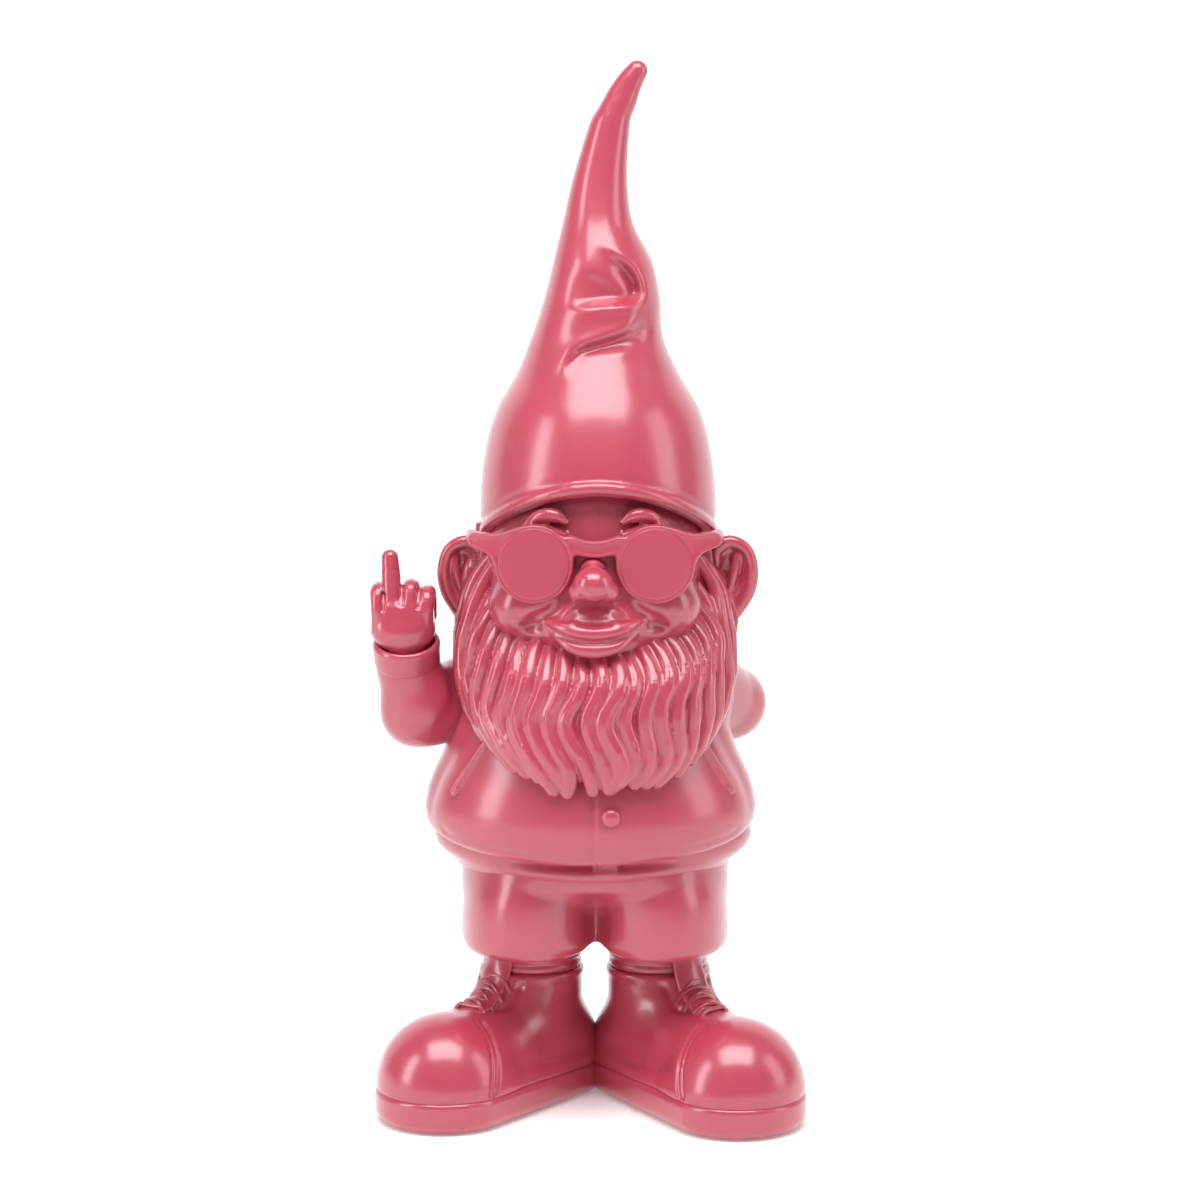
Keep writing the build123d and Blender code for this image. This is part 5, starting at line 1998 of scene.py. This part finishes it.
@dataclass
class RaisedArm(Assembly):
    """The right arm, raised, with the back of the hand to the front and its middle finger up."""

    elbow: Point = (-58.3, -5.0, 136.4)
    wrist: Point = (-62.4, -8.2, 151.4)
    top: Point = (-62.6, -12.2, 160.6)
    step: float = 0.5

    def build(self) -> None:
        """Models sleeve, cuff and hand and lets them stand for their nodes."""
        self._sleeve()
        self._cuff()
        self._hand()

    def _sleeve(self) -> None:
        """The sleeve, bent sharply at the elbow."""
        clay = Clay((-74, -24, 119), (-16, 26, 162), self.step * 1.3)
        clay.merge(Rope([(-30, 9, 142, 14.0), (-44, 4, 139, 13.4), (*self.elbow, 12.1)]), 0)
        clay.merge(Rope([(-61.2, -5.5, 134.0, 9.6), (-50, -2, 134.2, 9.8)]), 3)
        clay.merge(Rope([(*self.elbow, 12.1), (*self.wrist, 10.6)]), 4)
        clay.groove(through([(-50, -17.5, 132), (-46.5, -13.5, 139), (-47.0, -9, 147)], 10), 1.4, 2.0)
        clay.groove(through([(-55, -17.5, 128.5), (-48, -13.5, 126.5), (-41, -8, 127)], 10), 0.8, 2.2)
        self.fire("sleeve_bent_right", clay, self.finishes.cloth, "sleeve_right")

    def _cuff(self) -> None:
        """The turned-back cuff, open at the top."""
        clay = Clay((-77, -28, 141), (-48, 6, 168), self.step)
        clay.merge(Barrel(self.wrist, self.top, (10.9, 11.3), 2.0), 0)
        length = np.array(self.top) - np.array(self.wrist)
        inner, above = np.array(self.top) - length * 0.34, np.array(self.top) + length * 0.5
        clay.carve(Barrel(inner, above, (9.0, 9.8), 0.8), 1.0)
        self.fire("cuff_turned_right", clay, self.finishes.cloth, "cuff_right")

    def _hand(self) -> None:
        """The fist, its knuckles on top, the thumb across behind and the middle finger up."""
        clay = Clay((-77, -24, 150), (-49, 4, 193), self.step * 0.8)
        clay.merge(Rope([(-62.8, -11.6, 154, 6.8), (-63.4, -12.4, 161, 7.2)]), 0)
        clay.merge(Slab((-63.6, -12.8, 167.0), (10.3, 6.8, 8.6), 5.8), 3)
        clay.merge(Ball((-63.4, -12.8, 163.6), (9.6, 7.6, 6.6)), 3)
        for x, height, radius in ((-71.6, 176.9, 2.75), (-60.9, 177.9, 2.9), (-55.6, 175.6, 3.0)):
            finger = [(x, -16.0, 165), (x, -16.6, 171), (x, -15.0, height - 1.2), (x, -11.6, height)]
            finger += [(x, -6.6, height - 1), (x, -4.2, height - 8)]
            clay.merge(Rope.through(finger, 18, tapered(18, (0, 0.45, 1), (1.9, radius, radius * 0.94))), 1.0)
        middle = [(-66.4, -14.6, 161, 2.6), (-66.6, -15.2, 170, 3.3), (-67.1, -14.4, 178, 3.4)]
        clay.merge(Rope([*middle, (-67.7, -13.2, 187.8, 2.8)]), 0.9)
        clay.merge(Rope([(-71.5, -7.5, 163, 3.4), (-69, -4.4, 168.5, 3.3), (-62.5, -3.0, 171.5, 3.0)]), 0.8)
        for x, top in ((-63.7, 180), (-58.3, 179), (-69.9, 178)):
            clay.groove(through([(x, -14, top), (x, -17.6, top - 3.5), (x, -18.8, top - 7)], 12), 0.9, 0.75)
        nail = [(-70.4, -15.6, 184.4), (-67.5, -17.2, 184.0), (-65, -15.6, 184.4)]
        clay.groove(through(nail, 8), 0.22, 0.7)
        self.fire("hand_raised", clay, self.finishes.skin, "hand_right")


@dataclass
class HiddenArm(Assembly):
    """The left arm, which goes behind the back and rests its fist there."""

    shoulder: Point = (34, 8, 143)
    elbow: Point = (46.2, 28.0, 133.0)
    step: float = 0.6

    def build(self) -> None:
        """Models sleeve, cuff and hand and lets them stand for their nodes."""
        low, high = FIGURE.box("cuff_left")
        wrist = np.array([high[0] - 5.5, 43.6, high[2] - 10])
        end = np.array([low[0] + 6.6, 47.6, low[2] + 9.4])
        clay = Clay((14, -6, 103), (63, 56, 160), self.step * 1.2)
        clay.merge(Rope([(*self.shoulder, 14.2), (*self.elbow, 12.2)]), 0)
        clay.merge(Rope([(*self.elbow, 12.2), (*wrist, 10.4)]), 3)
        clay.groove(through([(40, 16, 127), (37, 22, 131), (35, 30, 138)], 10), 1.2, 2.2)
        self.fire("sleeve_bent_left", clay, self.finishes.cloth, "sleeve_left")
        clay = Clay((3, 33, 98), (33, 60, 130), self.step)
        clay.merge(Barrel(wrist, end, (10.9, 10.8), 2.2), 0)
        along = (end - wrist) / np.linalg.norm(end - wrist)
        clay.carve(Barrel(end - along * 2.2, end + along * 5, (8.2, 8.8), 0.7), 1.0)
        self.fire("cuff_turned_left", clay, self.finishes.cloth, "cuff_left")
        self._hand(end, along)

    def _hand(self, end: Array, along: Array) -> None:
        """The loose fist, its fingers curled in towards the jacket.

        Args:
            end: the middle of the cuff's open end.
            along: the unit direction that the arm points in there.
        """
        clay = Clay((-4, 34, 92), (24, 60, 122), self.step * 0.8)
        back = np.array([0.0, 1.0, 0.0])
        palm = end + along * 6.5
        clay.merge(Rope([(*(end - along * 3), 7.4), (*palm, 8.8), (*(palm + along * 3), 8.2)], back, 1.25), 0)
        across = np.cross(along, back)
        across /= np.linalg.norm(across)
        for number in range(4):
            aside = (number - 1.5) * 4.3
            start = palm + along * 3 + across * aside + back * 1.5
            finger = [start, start + along * 5 + back * 1.5, start + along * 6.5 - back * 3.5]
            clay.merge(Rope.through(finger, 9, 2.9), 0.7)
        self.fire("hand_resting", clay, self.finishes.skin, "hand_left")


# ------ studio
@dataclass
class Studio:
    """A pale sweep that partly glows as painted light, soft boxes and the camera, in metres and degrees."""

    distance: float = 1.0
    elevation: float = 7.0
    target_height: float = 0.1721
    target_aside: float = 0.0017
    field: float = 22.76
    bend: float = 0.8  # the radius of the curve between floor and backdrop
    sink: float = 0.0002  # how far the floor lies under the soles

    def build(self) -> None:
        """Sets up the floor, the lights and the camera."""
        self._sweep()
        self._world()
        self._box("key_overhead", (0.0, -0.45, 1.15), (0, 0, 0.18), (1.1, 0.7), 15.0)
        self._box("strip_left", (-1.0, -0.45, 0.5), (0, 0, 0.2), (0.3, 0.9), 4.6)
        self._box("fill_right", (1.1, -0.25, 0.55), (0, 0, 0.18), (0.45, 1.0), 3.4)
        self._camera()

    def _sweep(self) -> None:
        """The floor and backdrop in one curved sheet, which glows as painted light: dim in front and full
        towards the back.
        """
        front, back, top, half_width = -3.0, 1.2, 3.0, 3.5
        turns = [radians(degrees) for degrees in range(10, 91, 10)]
        profile = [(front, 0.0), (back, 0.0)]
        profile += [(back + self.bend * sin(turn), self.bend - self.bend * cos(turn)) for turn in turns]
        profile += [(back + self.bend, top)]
        vertices = [(x, y, z - self.sink) for y, z in profile for x in (-half_width, half_width)]
        faces = [(2 * n, 2 * n + 1, 2 * n + 3, 2 * n + 2) for n in range(len(profile) - 1)]
        mesh = bpy.data.meshes.new("sweep")
        mesh.from_pydata(vertices, [], faces)
        mesh.shade_smooth()
        sweep = put("sweep", mesh)
        palette = Palette("sweep_paper_glowing")
        paper = palette.mix(palette.noise(40.0, 2.0), (0.90, 0.90, 0.90), (0.93, 0.93, 0.93))
        palette.feed(palette.shader.inputs["Base Color"], paper)
        palette.shader.inputs["Roughness"].default_value = 0.9
        # painted light: the sheet glows of itself, at 0.36 of full strength in front of y = 0.1 m, rising to
        # full strength at y = 1.5 m
        corner = palette.node("ShaderNodeTexCoord").outputs["Object"]
        depth = palette.node("ShaderNodeSeparateXYZ", None, {"Vector": corner}).outputs["Y"]
        reach = {"Value": depth, "From Min": 0.1, "From Max": 1.5}
        far = palette.node("ShaderNodeMapRange", {"interpolation_type": "SMOOTHSTEP"}, reach)
        glow = palette.mix(Signal(palette.tree, far.outputs["Result"]), (0.36, 0.36, 0.36), (1, 1, 1))
        palette.feed(palette.shader.inputs["Emission Color"], glow)
        palette.shader.inputs["Emission Strength"].default_value = 0.56
        palette.shader.inputs["Specular IOR Level"].default_value = 0.2
        mesh.materials.append(palette.material)

    def _world(self) -> None:
        """A plain pale surrounding."""
        world = bpy.data.worlds.new("studio")
        world.use_nodes = True
        background = world.node_tree.nodes["Background"]
        background.inputs["Color"].default_value = (1, 1, 1, 1)
        background.inputs["Strength"].default_value = 0.24
        bpy.context.scene.world = world

    def _box(self, name: str, place: Point, aim: Point, size: tuple[float, float], power: float) -> None:
        """A rectangular soft box.

        Args:
            name: the light's name.
            place: where it stands, in metres.
            aim: what it points at.
            size: its width and height.
            power: its power in watts.
        """
        light = bpy.data.lights.new(name, "AREA")
        light.shape, light.size, light.size_y, light.energy = "RECTANGLE", size[0], size[1], power
        lamp = put(name, light)
        lamp.location = place
        lamp.rotation_euler = (Vector(aim) - Vector(place)).to_track_quat("-Z", "Y").to_euler()

    def _camera(self) -> None:
        """The camera, in front and a little above."""
        data = bpy.data.cameras.new("camera")
        data.sensor_width, data.angle, data.clip_start = 36.0, radians(self.field), 0.05
        target = Vector((FIGURE.middle[0] + self.target_aside, FIGURE.middle[1], self.target_height))
        lift = radians(self.elevation)
        camera = put("camera", data)
        camera.location = target + Vector((0, -cos(lift), sin(lift))) * self.distance
        camera.rotation_euler = (target - camera.location).to_track_quat("-Z", "Y").to_euler()
        bpy.context.scene.camera = camera


def main() -> None:
    """Builds the studio and every piece, in order from the ground up."""
    logging.basicConfig(level=logging.INFO, format="%(name)s %(message)s")
    bpy.context.scene.view_settings.view_transform = "Standard"
    Studio().build()
    finishes, mass = Finishes(), HairMass()
    parts = [Boot(finishes, side) for side in Side] + [Clothes(finishes), Head(finishes)]
    parts += [Sunglasses(finishes), Beard(finishes, mass), BackHair(finishes, mass)]
    parts += [Ear(finishes, side) for side in Side]
    parts += [RaisedArm(finishes), HiddenArm(finishes), Hat(finishes)]
    for part in parts:
        part.build()
        log.info("built %s", type(part).__name__)


if __name__ == "__main__":
    main()
